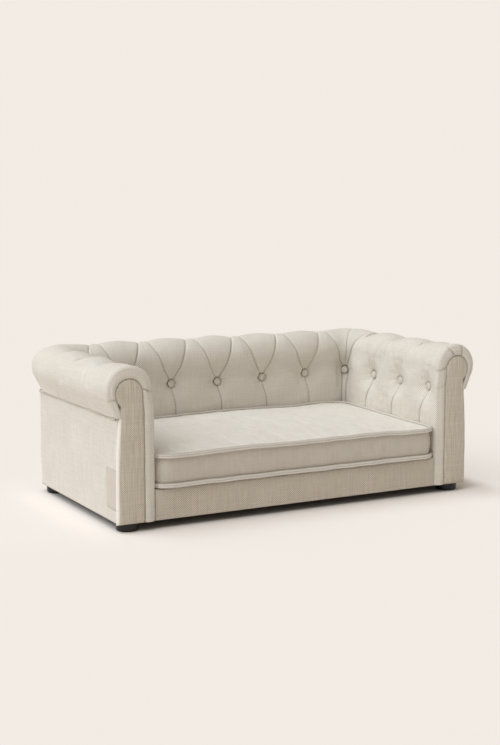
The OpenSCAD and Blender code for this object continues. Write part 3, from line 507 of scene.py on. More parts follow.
# depths, widths and reaches of the tufting in metres, turns round the roll in radians; the arm's shares
# multiply what the back has
tufts = {
    "columns": 24, "cornerColumns": 36, "edgeColumns": 8, "frontColumns": 13, "rowStep": 0.0035,
    "columnTurn": 0.045, "columnLow": 0.20, "columnHigh": 0.19, "columnHold": (0.045, 0.445),
    "valleyTurn": math.radians(132), "bend": 1.16, "leftLean": 0.10, "seed": 11, "uneven": 0.22,
    "pressFlat": 0.0080, "pressReach": 0.0260, "groove": 0.0065, "grooveFlat": 0.0098, "grooveReach": 0.0020,
    "creaseDepth": 0.0032, "creaseWidth": 0.0018, "creaseFade": 0.45, "puffReach": 0.024,
    "puffDepth": 0.0032, "puffLow": 0.75, "puffHigh": 2.9, "pleatDepth": 0.0013, "pleatPuff": 0.0092,
    "dropDepth": 0.0028, "dropPuff": 0.0026, "cornerDrop": 1.7, "cornerApart": 0.0075, "riseSlant": 0.94,
    "thirdDepth": 0.0020, "thirdWidth": 0.0016,
    "armRise": 0.28, "armPleat": 1.7, "armPuff": 0.85, "armFade": 0.85, "armFadeTurns": (1.45, 0.7),
    "crossDepth": 0.0030, "crossWidth": 0.0022, "crossPuff": 0.0058, "crossReach": 0.014,
    "crossFrom": (0.7, 0.5), "crossTo": (1.8, 0.7),
    "foldShade": 0.45, "crossShade": 0.48, "rimShade": 0.45, "rimAt": 0.0006, "rimWidth": 0.0012,
    "backLean": 0.008, "armLean": 0.016, "leanRise": 0.065,
    "ringAtLip": 0.0155, "ringUnder": 0.002, "lipIn": 0.0070, "lipUp": 0.0015, "frontIn": (0, 0.006, 0.001),
    # pleats sewn into the ring at the arm fronts, right and left: turn round the roll, and strength
    "tucks": {1: ((1.20, 1.0), (1.98, 1.0), (-0.06, 0.9), (-0.85, 0.4)), -1: ((0.02, 1.0), (3.6, 0.7))},
    "tuckDepth": 0.0030, "tuckWidth": 0.040, "tuckSlant": 0.16,
}
valleyT = rollZ + sofa["rollR"] * tufts["valleyTurn"]


def climb(t):  # 0 at the buttons, 1 at the valleys
    return clip01((t - sofa["buttonZ"]) / (valleyT - sofa["buttonZ"]))


# how far a fold that rises from a button has gone towards the valley halfway to the next one; a fold
# on the button's left stands off further on its way up
def foldCentre(t, onLeft):
    u = climb(t)
    centre = 0.5 * (tufts["bend"] * u - (tufts["bend"] - 1) * u * u)
    return centre + onLeft * tufts["leftLean"] * smooth(u / 0.25) * (1 - smooth((u - 0.5) / 0.35))


# places of the columns between two tufts, in tufts. They bunch up at the button's line, at the fold and at
# the valley: q = s - sin(4 pi s) / 20, and the middle ones follow the fold
def columnTufts(t, count, half, side, width=0.5):
    s = np.arange(count) / count
    q = s - np.sin(4 * math.pi * s) / 20
    low = smooth((sofa["buttonZ"] - t) / tufts["columnTurn"]) * tufts["columnLow"]
    high = smooth((t - valleyT) / tufts["columnTurn"]) * tufts["columnHigh"]
    onLeft = (half % 2 == (1 if side > 0 else 0)) and half < 2 * sofa["cornerTuft"]
    c = np.clip(foldCentre(t, onLeft), *tufts["columnHold"]) + low - high
    c = np.minimum(c, 0.75 * width)[:, None]
    inner = np.where(q < 0.5, 2 * q * c, c + (2 * q - 1) * (width - c))
    if half % 2 == 0:
        return half / 2 + inner
    backward = np.where(1 - q < 0.5, 2 * (1 - q) * c, c + (2 * (1 - q) - 1) * (width - c))
    return (half + 1) / 2 - backward


# Depth of the cloth below its full form, distance from the nearest button, and painted shade for the
# folds and for the groove at each button's rim.
# Round each button the cloth sinks as a wide soft dimple with a narrow groove at the button's rim. Two
# folds rise from it to the valleys halfway to its neighbours, one runs down from it, and one runs over
# the roll from each valley; on the arms that one fades early, and a short pleat crosses the roll's top
# instead. A corner's button has two folds below it and a third straight up. A fold is a narrow bell on a
# broad exponential
def sinkAt(k, t, side):
    def broad(gap, depth):
        return depth * np.exp(-gap / tufts["puffReach"])

    def narrow(gap, depth):
        return depth * bell(gap, tufts["creaseWidth"])

    nearest = np.minimum(np.round(k), lastTuft)
    dk = np.abs(k - nearest)
    onArm, atCorner = nearest > sofa["cornerTuft"], nearest == sofa["cornerTuft"]
    pitch = np.where(k < sofa["cornerTuft"], backPitch, sofa["armPitch"])
    dice = np.random.default_rng(tufts["seed"]).random((2, lastTuft + 2))
    chance = (1 + tufts["uneven"] * (dice * 2 - 1))[int(side > 0)][nearest.astype(int)]
    riseShare, pleatShare = (np.where(onArm, tufts[key], 1.0) * chance for key in ("armRise", "armPleat"))
    puffShare = np.where(onArm, tufts["armPuff"], 1.0)
    turn, u = turnAt(t), climb(t)
    fade = 1 - onArm * tufts["armFade"] * smooth((turn - tufts["armFadeTurns"][0]) / tufts["armFadeTurns"][1])
    front = np.where(k > lastTuft, clip01((frontTuft - k) / (frontTuft - lastTuft)), 1.0)
    over = clip01((endT - t) / (endT - valleyT))
    upward = smooth((t - sofa["buttonZ"]) / 0.010)
    beyond = smooth((t - valleyT) / 0.02 + 0.5)
    down = smooth((sofa["buttonZ"] - t) / (sofa["buttonZ"] - deckZ))

    # distances from the fold that rises, the one that drops and the one over the roll
    onLeft = ((k - nearest) * side < 0) & (k < sofa["cornerTuft"])
    rise = np.abs(dk - foldCentre(t, onLeft)) * pitch * tufts["riseSlant"]
    drop = np.where(atCorner, np.abs(dk * pitch - tufts["cornerApart"]), dk * pitch)
    last = (0.5 - dk) * pitch
    deep = np.where(atCorner, tufts["cornerDrop"], 1.0)

    riseDepth = tufts["creaseDepth"] * mixed(1.0, tufts["creaseFade"], smooth((u - 0.5) / 0.35))
    crease = mixed(narrow(drop, tufts["dropDepth"] * deep) * chance,
                   narrow(rise, riseDepth) * riseShare, upward)
    crease = mixed(crease, narrow(last, tufts["pleatDepth"] * over) * pleatShare, beyond) * front * fade
    puffDepth = tufts["puffDepth"] * mixed(tufts["puffLow"], tufts["puffHigh"], u ** 3)
    puff = mixed(broad(drop, tufts["dropPuff"] * mixed(1.0, 0.55, down) * deep),
                 broad(rise, puffDepth) * puffShare, upward)
    puff = mixed(puff, broad(last, tufts["pleatPuff"] * over ** 0.7) * puffShare, beyond) * front * fade

    (start, rising), (end, falling) = tufts["crossFrom"], tufts["crossTo"]
    top = onArm * smooth((turn - start) / rising) * (1 - smooth((turn - end) / falling)) * front * chance
    crease = crease + top * tufts["crossDepth"] * bell(last, tufts["crossWidth"])
    puff = puff + top * tufts["crossPuff"] * np.exp(-np.abs(last) / tufts["crossReach"])
    third = atCorner * tufts["thirdDepth"] * bell(dk * pitch, tufts["thirdWidth"]) * upward
    third = third * clip01((endT - t) / 0.2)

    away = np.hypot(dk * pitch, t - sofa["buttonZ"])
    press = bell(np.maximum(away - tufts["pressFlat"], 0), tufts["pressReach"])
    groove = bell(np.maximum(away - tufts["grooveFlat"], 0), tufts["grooveReach"])
    full = np.where(onArm, sofa["armDepth"], sofa["tuftDepth"]) - tufts["groove"]
    crease = (crease + third) * smooth((away - 0.006) / 0.006)

    # painted shade: dark along the folds, across the arms' top pleats and in the groove at each button's rim
    shade = tufts["foldShade"] * clip01(crease / tufts["creaseDepth"]) ** 1.3
    shade = shade * mixed(1.0, 0.3, smooth((t - valleyT + 0.045) / 0.03))
    shade = shade + tufts["crossShade"] * top * bell(last, tufts["crossWidth"])
    shade = shade + tufts["rimShade"] * bell(away - tufts["grooveFlat"] - tufts["rimAt"], tufts["rimWidth"])
    return mixed(puff, full, press) + groove * tufts["groove"] + crease * mixed(1.0, 0.7, press), away, shade


# heights of the cloth's small unevenness, in metres
loose = {"broad": 0.0010, "fine": 0.00035, "spokes": 0.0006, "armAlong": 0.0004, "armAcross": 0.0003,
         "armRoll": 0.0009, "lip": 0.0009, "front": 0.0007}


# slack: broad and fine waves everywhere, spokes round each button, creases on the arms and their rolls,
# and ripples along the lip
def slackAt(u, t, dk, away, onArm):
    waves = wander(u, t, 0.16, 3) * loose["broad"] + wander(u, t, 0.05, 5) * loose["fine"]
    spokes = np.cos(9 * np.arctan2(t - sofa["buttonZ"], dk * backPitch + 1e-6))
    gather = loose["spokes"] * spokes * bell(away - 0.016, 0.010)
    wall = loose["armAlong"] * wander(u * 3.2, t, 0.055, 8)
    wall = wall + loose["armAcross"] * wander(u, t * 3.0, 0.045, 12)
    roll = loose["armRoll"] * wander(u, t * 0.28, 0.032, 15) * smooth((t - valleyT + 0.03) / 0.05)
    ripple = loose["lip"] * wander(u, t * 0.15, 0.020, 9) * smooth((t - endT + 0.045) / 0.045)
    return waves + gather + onArm * (wall * smooth((t - deckZ) / 0.05) + roll) + ripple


# one side of the cover, from the middle of the back to the front of its arm; line and run give the length
# of cloth at each tuft, for the weave
def innerSide(side, rows, line, run):
    corner = (2 * sofa["cornerTuft"] - 1, 2 * sofa["cornerTuft"])
    halves = [columnTufts(rows, tufts["cornerColumns" if half in corner else "columns"], half, side)
              for half in range(2 * lastTuft)]
    halves.append(columnTufts(rows, tufts["columns"], 2 * lastTuft, side, frontTuft - lastTuft))
    k = np.concatenate(halves, axis=1)
    t = np.broadcast_to(rows[:, None], k.shape)
    sink, away, shade = sinkAt(k, t, side)
    dk = np.abs(k - np.round(k))
    onArm, onBack = smooth((k - armStart) / 0.3), smooth((backEnd - k) / 0.3)
    u = side * np.interp(k, line, run)
    depth = sink + slackAt(u, t, dk, away, onArm)
    arm, back = sectionAt(t, sofa["armWall"]), sectionAt(t, sofa["backWall"])
    na, nb = arm[0] + arm[2] * depth, back[0] + back[2] * depth
    lift = np.interp(k, np.arange(lastTuft + 1), sofa["lifts"][side])
    z = arm[1] + arm[3] * depth + lift * bell(t - sofa["buttonZ"], 0.035)

    # below the buttons the cloth leans a little, outward on the back and forward on the arms
    sag = smooth((sofa["buttonZ"] - t) / tufts["leanRise"]) * clip01(1 - 2 * dk) ** 2
    lean = side * onBack * tufts["backLean"] / backPitch - onArm * tufts["armLean"] / sofa["armPitch"]
    placed = k + sag * lean
    x, y = planAt(np.abs(placed), na, nb)
    x = np.where(placed < 0, -x, x)
    return spread(side * x, y, z), spread(u, t), shade


# front of an arm: the cloth turns a round edge and runs inward as a ring to the scroll facing, with a
# few sewn pleats across the ring. Painted shade lies on the pleats and along the ring's inner edge beside
# the facing
def armFront(side, rows, runEnd):
    edge, ring, r = tufts["edgeColumns"], tufts["frontColumns"], sofa["edgeR"]
    turn = np.linspace(0, math.pi / 2, edge + 1)[1:]
    face = np.concatenate([np.zeros(edge), np.linspace(0, 1, ring + 1)[1:]])
    inset = np.concatenate([r * (1 - np.cos(turn)), np.full(ring, r)])
    ahead = np.concatenate([r * np.sin(turn), np.full(ring, r)])
    t = rows[:, None]
    n, z, inN, inZ = sectionAt(t, sofa["armWall"])
    push = inset + face * (ringReach(t) - r)
    dome = 0.0024 * np.sin(math.pi * face ** 0.8) - 0.0075 * smooth((face - 0.80) / 0.20)
    tucks = 0.0
    for place, strength in tufts["tucks"][side]:
        gap = turnAt(t) - place - tufts["tuckSlant"] * (face - 0.5)
        tucks = tucks + strength * bell(gap, tufts["tuckWidth"])
    tucks = tucks * np.sin(math.pi * clip01(face * 0.85 + 0.12)) ** 0.5
    # painted shade on the sewn pleats and along the ring's inner edge, in the groove beside the facing
    shade = clip01(tucks * 0.9) + smooth((face - 0.87) / 0.08)
    slack = wander(t * side, face * 0.03, 0.09, 21 + (side < 0)) * loose["front"]
    y = frontY + r - ahead - dome + tucks * tufts["tuckDepth"] + slack * (face > 0)
    x = side * (halfWidth + n + inN * push)
    u = runEnd + np.cumsum(np.concatenate([np.full(edge, 0.0018), np.full(ring, 0.0017)]))
    return spread(x, y, z + inZ * push), spread(side * u, t), shade


# the whole cover: both sides with their arm fronts, joined at the middle of the back, and two last rows
# where the lip turns in under the roll to the outer cover, with painted shade
def makeTuftedCover():
    lowRows = np.arange(footH + 0.0012, deckZ - 0.001, 0.006)
    rows = np.concatenate([lowRows, np.arange(deckZ, endT, tufts["rowStep"]), [endT]])
    line = np.linspace(0, frontTuft, 800)
    run = lengthAlong(*planAt(line, np.full(800, rollN), np.full(800, rollN)))
    right, left = [[np.concatenate(pair, axis=1) for pair in
                    zip(innerSide(side, rows, line, run), armFront(side, rows, run[-1]))] for side in (1, -1)]
    points, uv, fold = [np.concatenate([a[:, :0:-1], b], axis=1) for a, b in zip(left, right)]

    fronts = tufts["edgeColumns"] + tufts["frontColumns"]
    under = points[-1:].copy()
    inward = np.zeros_like(under)
    inward[..., 0] = -tufts["lipIn"] * np.sign(under[..., 0]) * (np.abs(under[..., 0]) > centreX)
    inward[..., 1] = -tufts["lipIn"] * (under[..., 1] > centreY)
    inward[..., 2] = tufts["lipUp"]
    inward[:, :fronts] = inward[:, -fronts:] = tufts["frontIn"]
    points = np.concatenate([points, under + inward * 0.5 - [0, 0, 0.001], under + inward], axis=0)
    uv = np.concatenate([uv, uv[-1:] + [0, 0.004], uv[-1:] + [0, 0.008]], axis=0)
    # painted shade on the two rows where the lip turns in under the roll
    fold = clip01(np.concatenate([fold, fold[-1:] + 0.7, fold[-1:] + 1], axis=0))

    # below the deck only the strips at the arm fronts go down to the floor rail
    allRows, cols = points.shape[:2]
    keep = np.ones((allRows - 1, cols - 1), bool)
    keep[:len(lowRows), fronts:cols - 1 - fronts] = False
    piece = addGrid("tufted_cover", points, uv, keep=keep, fold=fold)
    dress(piece, "sofa", cloth["tufted"],
          ("arm_padding_left", "arm_padding_right", "corner_padding_left", "corner_padding_right",
           "back_padding"))
    print("tufted cover", len(piece.data.polygons), "faces")


makeTuftedCover()


button = {
    "radius": 0.0092, "rim": 0.0030, "dome": 0.0034, "lift": 0.0020, "cornerLift": 0.003, "seat": 0.003,
    "pleats": 14, "pleatDepth": 0.035, "tilt": 0.07, "nod": 0.06, "around": 36, "out": 11,
}


# button: radius r runs over a dome h = dome (1 - r^2.6)^0.75, rolls round the rim and tapers to its seat;
# small pleats pull in at the rim
def buttonShape():
    a = np.linspace(0, 2 * math.pi, button["around"], endpoint=False)
    s = np.linspace(0.0, 1, button["out"])
    r = np.concatenate([s, [1.0, 0.9, 0.62]]) * button["radius"]
    dome = button["rim"] + button["dome"] * (1 - s ** 2.6) ** 0.75
    h = np.concatenate([dome, [button["rim"] * 0.5, 0.0, -button["seat"]]])
    r, h, a = r[:, None], h[:, None], a[None, :]
    pleat = button["pleatDepth"] * (0.5 + 0.5 * np.cos(button["pleats"] * a))
    pleat = 1 - pleat * smooth((r / button["radius"] - 0.72) / 0.28)
    return r * pleat * np.cos(a), r * pleat * np.sin(a), h


# buttons in three groups, back, right arm and left arm; a negative number is a tuft on the left side, and
# each button leans a little its own way
def makeButtons():
    across, up, out = buttonShape()
    quads = gridFaces(*across.shape, closeCols=True)
    backTufts = [0] + [s * k for k in range(1, sofa["cornerTuft"] + 1) for s in (1, -1)]
    armTufts = list(range(sofa["cornerTuft"] + 1, lastTuft + 1))
    for word, places in (("back", backTufts), ("right", armTufts), ("left", [-k for k in armTufts])):
        points, uvs, faces = [], [], []
        for number, signed in enumerate(places):
            k, side = float(abs(signed)), -1 if signed < 0 else 1
            arm, corner = k > sofa["cornerTuft"], k == sofa["cornerTuft"]
            sunk = sofa["armDepth" if arm else "tuftDepth"] - button["cornerLift" if corner else "lift"]
            walls = [np.array(sunk - sofa[wall]) for wall in ("armWall", "backWall")]
            x, y = (float(v) for v in planAt(np.array(k), *walls))
            turn = math.radians(-90 if arm else -45 if corner else 0)
            depth = -out + across * (button["tilt"] * math.sin(2.4 * number + 1.1))
            depth = depth + up * (button["nod"] * math.cos(3.1 * number))
            px = x + across * math.cos(turn) - depth * math.sin(turn)
            py = y + across * math.sin(turn) + depth * math.cos(turn)
            height = sofa["buttonZ"] + sofa["lifts"][side][int(k)]
            points.append(spread(side * px, py, height + up).reshape(-1, 3))
            uvs.append(spread(across + 0.03 * number, up).reshape(-1, 2))
            faces.append((quads[:, ::-1] if side > 0 else quads) + number * across.size)
        piece = addMesh("covered_buttons_" + word, np.concatenate(points), np.concatenate(faces),
                        np.concatenate(uvs), merge=True)
        dress(piece, "sofa", cloth["button"], ("buttons_" + word,))
    print("buttons")


makeButtons()


facing = {
    "round": 0.0065, "puff": 0.0024, "puffReach": 0.028, "slack": 0.0006, "back": 0.013, "side": 0.003,
    "edgeAt": 0.005, "edgeReach": 0.003, "legRows": 64, "headRows": 34, "columns": 26,
}


# facing: at each height a line across between its two edges. The head is a circle, the outer edge runs
# from the neck out to the foot, and the face falls off in a round within reach of the outline. A painted
# highlight lies along the outer edge of the leg
def makeFacing(side, name, node):
    turns = np.linspace(math.asin((neckZ - headZ) / sofa["headR"]), math.pi / 2, facing["headRows"] + 1)[1:]
    z = np.concatenate([np.linspace(footH, neckZ, facing["legRows"]),
                        headZ + sofa["headR"] * np.sin(turns)])[:, None]
    reach = np.sqrt(np.maximum(sofa["headR"] ** 2 - (z - headZ) ** 2, 0))
    left = facingInner(z)
    outward = mixed(sofa["flare"], waistN, clip01((z - footH) / (neckZ - footH)) ** 3)
    right = np.where(z < neckZ, outward, headN + reach)
    s = np.linspace(0, 1, facing["columns"] + 1)
    s = s - np.sin(2 * math.pi * s) / (2 * math.pi) * 0.72
    n = mixed(left, right, s)
    gap = np.minimum(np.minimum(n - left, right - n), z - footH)
    gap = np.where(z > headZ, np.minimum(gap, sofa["headR"] - np.hypot(n - headN, z - headZ)), gap)
    e = np.clip(facing["round"] - gap, 0, facing["round"])
    sink = facing["round"] - np.sqrt(facing["round"] ** 2 - e * e)
    swell = facing["puff"] * (1 - (1 - clip01(gap / facing["puffReach"])) ** 2)
    slack = facing["slack"] * wander(n * side, z, 0.07, 31 + side)
    y = frontY - sofa["proud"] + facing["puff"] + sink - swell + slack
    rim = np.full_like(left, frontY - sofa["proud"] + facing["back"])
    n = np.concatenate([left, left, n, right, right], axis=1)
    y = np.concatenate([rim, y[:, :1] + facing["side"], y, y[:, -1:] + facing["side"], rim], axis=1)
    # painted highlight along the leg's outer edge, up to the neck
    fold = smooth((n - right + facing["edgeAt"]) / facing["edgeReach"]) * smooth((neckZ - z) / 0.02)
    piece = addGrid(name, spread(side * (halfWidth + n), y, z), spread(n, z), fold=fold, flip=side < 0)
    dress(piece, "sofa", cloth["facing"], (node,))


makeFacing(-1, "scroll_facing_left", "facing_left")
makeFacing(1, "scroll_facing_right", "facing_right")
print("scroll facings")


outer = {
    "corner": 0.010, "frontCorner": 0.005, "frontBack": 0.007, "tuckIn": 0.007, "tuckShade": 0.003,
    "hem": 0.009, "hemThick": 0.0010, "hemGroove": 0.0008, "hemRound": 0.0030,
    "slack": 0.0009, "gather": 0.0008, "pad": 0.0016,
}


# a stretched panel: its outline in plan is a line of points with outward directions, and it bows out a
# little; near the top it is drawn into small gathers, and above the lower edge runs a turned hem. The
# cloth has painted shade where a side panel's front edge tucks in beside the facing
def panel(name, outline, node, seed, side):
    px, py, ox, oy = outline
    low, high = footH, seamZ
    rows = np.concatenate([low + np.array([0, 0.0008, 0.003, 0.006]),
                           np.linspace(low + outer["hem"] - 0.002, high, 52)])[:, None]
    along = lengthAlong(px, py)[None, :]
    share = along / along[0, -1]
    height = (rows - low) / (high - low)
    bow = outer["pad"] * np.sin(math.pi * clip01(height)) ** 0.6 * np.sin(math.pi * clip01(share)) ** 0.4
    slack = outer["slack"] * wander(along, rows, 0.15, seed) * np.sin(math.pi * clip01(height)) ** 0.4
    gather = outer["gather"] * wander(along, rows * 0.1, 0.022, seed + 1) * smooth((height - 0.86) / 0.14)
    hem = outer["hemThick"] * smooth((outer["hem"] - (rows - low)) / 0.0012)
    hem = hem - outer["hemGroove"] * bell(rows - low - outer["hem"], 0.0011)
    rounded = -outer["hemRound"] * (1 - smooth((rows - low) / 0.0035))
    out = bow + slack * smooth(share / 0.05) + gather + hem + rounded
    points = spread(side * (px + ox * out), py + oy * out, rows)
    # painted shade where the front edge tucks in beside the facing
    tucked = 1 - smooth((along - outer["tuckIn"] - 0.0005) / outer["tuckShade"])
    fold = (node != "rear_cover") * tucked
    piece = addGrid(name, points, spread(along, rows), fold=fold, flip=side < 0)
    dress(piece, "sofa", cloth["cover"], (node,))


# the side panels run from the tuck beside the facing round the front corner, along the side and round the
# rear corner; the rear panel is straight
def makeCovers():
    turn = np.linspace(0, math.pi / 2, 9)
    r, f = outer["corner"], outer["frontCorner"]
    front = frontY + outer["frontBack"]
    y = np.linspace(front + f, rearY - r, 98)[1:-1]
    tuckX = np.linspace(halfWidth - f - outer["tuckIn"], halfWidth - f, 5)[:-1]
    outline = [np.concatenate(parts) for parts in (
        (tuckX, halfWidth - f + f * np.sin(turn), np.full(96, halfWidth), halfWidth - r + r * np.cos(turn)),
        (np.full(4, front), front + f - f * np.cos(turn), y, rearY - r + r * np.sin(turn)),
        (np.zeros(4), np.sin(turn), np.ones(96), np.cos(turn)),
        (-np.ones(4), -np.cos(turn), np.zeros(96), np.sin(turn)))]
    for side, word in ((1, "right"), (-1, "left")):
        panel("outer_cover_" + word, outline, "side_cover_" + word, 41 + side, side)
    x = np.linspace(halfWidth - r, r - halfWidth, 150)
    outline = (x, np.full(150, rearY), np.zeros(150), np.ones(150))
    panel("rear_panel", outline, "rear_cover", 47, 1)


makeCovers()


apron = {"round": 0.0055, "bow": 0.0016, "slack": 0.0006, "hem": 0.009, "hemThick": 0.0008}


# apron: up the front, over a round top edge and back to the deck cloth, with a turned hem at its foot
def makeApron():
    low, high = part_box("apron")
    x = np.linspace(low[0], high[0], 140)[None, :]
    radius, hem = apron["round"], apron["hem"]
    a = np.linspace(0, math.pi / 2, 7)[1:]
    z = np.concatenate([footH + np.array([0.001, 0.0025, 0.005, 0.008, 0.0095]),
                        np.linspace(footH + 0.012, high[2] - radius, 16),
                        high[2] - radius + radius * np.sin(a), [high[2]]])[:, None]
    y = np.concatenate([np.full(21, low[1]), low[1] + radius * (1 - np.cos(a)), [high[1]]])[:, None]
    height = clip01((z - footH) / (high[2] - footH))
    bow = apron["bow"] * np.sin(math.pi * height) ** 0.7 * (1 - (x / high[0]) ** 8)
    slack = apron["slack"] * wander(x, z, 0.11, 53) * np.sin(math.pi * height) ** 0.5
    fold = apron["hemThick"] * (smooth((hem - (z - footH)) / 0.001) - bell(z - footH - hem, 0.0012))
    piece = addGrid("front_apron", spread(x, y - bow - slack - fold, z), spread(x, z))
    dress(piece, "sofa", cloth["apron"], ("apron",))


makeApron()


band = {"down": 0.0030, "halfHigh": 0.0032, "stand": 0.0014, "thick": 0.0014, "waver": 0.0005}


# band under the rolls: a flat folded strip that follows the outline just below the lip
def makeSeamBand():
    r = outer["corner"]
    y = np.linspace(frontY + outer["frontBack"] + 0.002, rearY - r, 120)
    a = np.linspace(0, math.pi / 2, 12)[1:]
    x = np.linspace(halfWidth - r, 0, 90)[1:]
    px = np.concatenate([np.full(120, halfWidth), halfWidth - r * (1 - np.cos(a)), x])
    py = np.concatenate([y, rearY - r * (1 - np.sin(a)), np.full(89, rearY)])
    ox = np.concatenate([np.ones(120), np.cos(a), np.zeros(89)])
    oy = np.concatenate([np.zeros(120), np.sin(a), np.ones(89)])
    px, ox = (np.concatenate([v, -v[-2::-1]]) for v in (px, ox))
    py, oy = (np.concatenate([v, v[-2::-1]]) for v in (py, oy))
    along = lengthAlong(px, py)
    s = np.linspace(-1, 1, 15)[:, None]
    out = band["stand"] + band["thick"] * (1 - np.abs(s) ** 3.5) + 0.0003 * wander(along, s * 0.01, 0.05, 61)
    z = seamZ - band["down"] + band["halfHigh"] * s + band["waver"] * wander(along, s * 0, 0.12, 62)
    piece = addGrid("seam_band", spread(px + ox * out, py + oy * out, z), spread(along, s * 0.0055))
    dress(piece, "sofa", cloth["band"])


makeSeamBand()
print("covers, apron, band")


tag = {
    "ahead": 0.001, "short": 0.006, "stand": 0.0031, "lift": 0.0011, "thick": 0.0012,
    "stitchIn": 0.004, "stitchPitch": 0.0026, "stitchDepth": 0.0005, "seamIn": 0.0035, "seamDepth": 0.0006,
}


# tag: a bare folded ribbon sewn down at its front edge; its free edge lifts a little in waves, and a row
# of stitches crosses it near each end. The node's box gives its place, moved a little to the front
def makeTag():
    low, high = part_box("tag")
    y = np.linspace(low[1] - tag["ahead"], high[1] - tag["short"], 40)[None, :]
    z = np.linspace(low[2], high[2], 60)[:, None]
    free = clip01((y - low[1]) / (high[1] - low[1]))
    ends = bell(z - low[2] - tag["stitchIn"], 0.0008) + bell(high[2] - z - tag["stitchIn"], 0.0008)
    stitch = ends * (0.55 + 0.45 * np.sin(2 * math.pi * y / tag["stitchPitch"]))
    waves = 0.6 + 0.4 * np.cos(3.2 * (z - low[2]) / (high[2] - low[2]) * math.pi)
    out = tag["stand"] + tag["lift"] * free ** 2 * waves - tag["stitchDepth"] * stitch
    out = out - tag["seamDepth"] * bell(y - low[1] - tag["seamIn"], 0.0008) + 0.0003 * wander(y, z, 0.03, 71)
    piece = addGrid("tag_ribbon", spread(-(halfWidth + out), y, z), spread(y, z), flip=True)
    thick = piece.modifiers.new("fold", "SOLIDIFY")
    thick.thickness, thick.offset = tag["thick"], -1.0
    dress(piece, "sofa", cloth["tag"], ("tag",))


makeTag()


# deck cloth under the cushion and black cloth under the base: flat sheets with a slight sag and waves
def makeFlatSheet(name, node, key, facesUp, sag, seed):
    low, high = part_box(node)
    x = np.linspace(low[0], high[0], 120)[None, :]
    y = np.linspace(low[1], high[1], 76)[:, None]
    across = (1 - (x / high[0]) ** 6) * (1 - ((2 * y - low[1] - high[1]) / (high[1] - low[1])) ** 6)
    wave = 0.0005 * wander(x, y, 0.13, seed) * across
    z = (high[2] if facesUp else low[2]) - sag * across + wave
    piece = addGrid(name, spread(x, y, z), spread(x, y), flip=not facesUp)
    dress(piece, "sofa", cloth[key], (node,))


makeFlatSheet("deck_lining", "deck_cloth", "deck", True, 0.0003, 73)
makeFlatSheet("dust_lining", "dust_cover", "dust", False, -0.0002, 77)
print("tag, deck, dust cloth")


coverBox, upperBox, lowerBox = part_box("cushion_cover"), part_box("upper_piping"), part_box("lower_piping")
cushion = {
    "halfWidth": 0.363, "front": coverBox[0][1], "rear": 0.153,
    "lowSeam": (lowerBox[0][2] + lowerBox[1][2]) / 2, "highSeam": (upperBox[0][2] + upperBox[1][2]) / 2,
    "frontRound": 0.037, "rearRound": 0.042, "drawIn": 0.004, "frontDrop": 0.0015, "rearRise": 0.0080,
    "crown": 0.0075, "middleRise": 0.0022, "flatDrop": 0.0020, "swell": 0.0030, "waver": 0.0013,
    "cells": (92, 54), "bunch": 0.06, "bandRows": 9,
    "pressure": 4.0, "steps": 20, "capTop": 0.007, "capBand": 0.0025,
    "dimples": 0.0006, "fineDimples": 0.0005, "pressAcross": 0.017, "pressUp": 0.0135, "pressUnder": 0.0009,
}


# cushion: a grid over a rounded oblong, whose square corners are drawn in to quarter circles, crowned on
# top and flat below; a band joins the two outlines, swells between them and draws in along each side
def cushionPlan():
    nx, ny = cushion["cells"]
    s = np.linspace(-1, 1, nx + 1)
    t = np.linspace(-1, 1, ny + 1)
    s, t = np.meshgrid(*(v + cushion["bunch"] * np.sin(math.pi * v) for v in (s, t)))
    midY, halfY = (cushion["front"] + cushion["rear"]) / 2, (cushion["rear"] - cushion["front"]) / 2
    x, y = s * cushion["halfWidth"], t * halfY
    r = np.where(t < 0, cushion["frontRound"], cushion["rearRound"])
    a = np.maximum(np.abs(x) - (cushion["halfWidth"] - r), 0)
    b = np.maximum(np.abs(y) - (halfY - r), 0)
    inCorner = (a > 0) & (b > 0)
    shrink = np.where(inCorner, np.maximum(a, b) / np.maximum(np.hypot(a, b), 1e-9), 1.0)
    x = np.where(inCorner, np.sign(x) * (cushion["halfWidth"] - r + a * shrink), x)
    y = np.where(inCorner, np.sign(y) * (halfY - r + b * shrink), y)
    x = x * (1 - cushion["drawIn"] / cushion["halfWidth"] * np.abs(s) ** 3 * (1 - t ** 2))
    y = y * (1 - cushion["drawIn"] / halfY * np.abs(t) ** 3 * (1 - s ** 2))
    return s, t, x, y + midY


# height of the seams: the upper one rises to the rear and in the middle, the lower one lies on the deck
def seamHeight(x, y, upper):
    back = clip01((y - cushion["front"]) / (cushion["rear"] - cushion["front"]))
    waver = cushion["waver"] * wander(x, y * 0.4, 0.24, 83 if upper else 85) + 0.0006 * wander(x, y, 0.09, 87)
    if upper:
        middle = cushion["middleRise"] * (1 - (x / cushion["halfWidth"]) ** 2)
        return cushion["highSeam"] + mixed(-cushion["frontDrop"], cushion["rearRise"], back) + waver + middle
    return cushion["lowSeam"] + np.abs(waver) * 0.8 + 0.0002


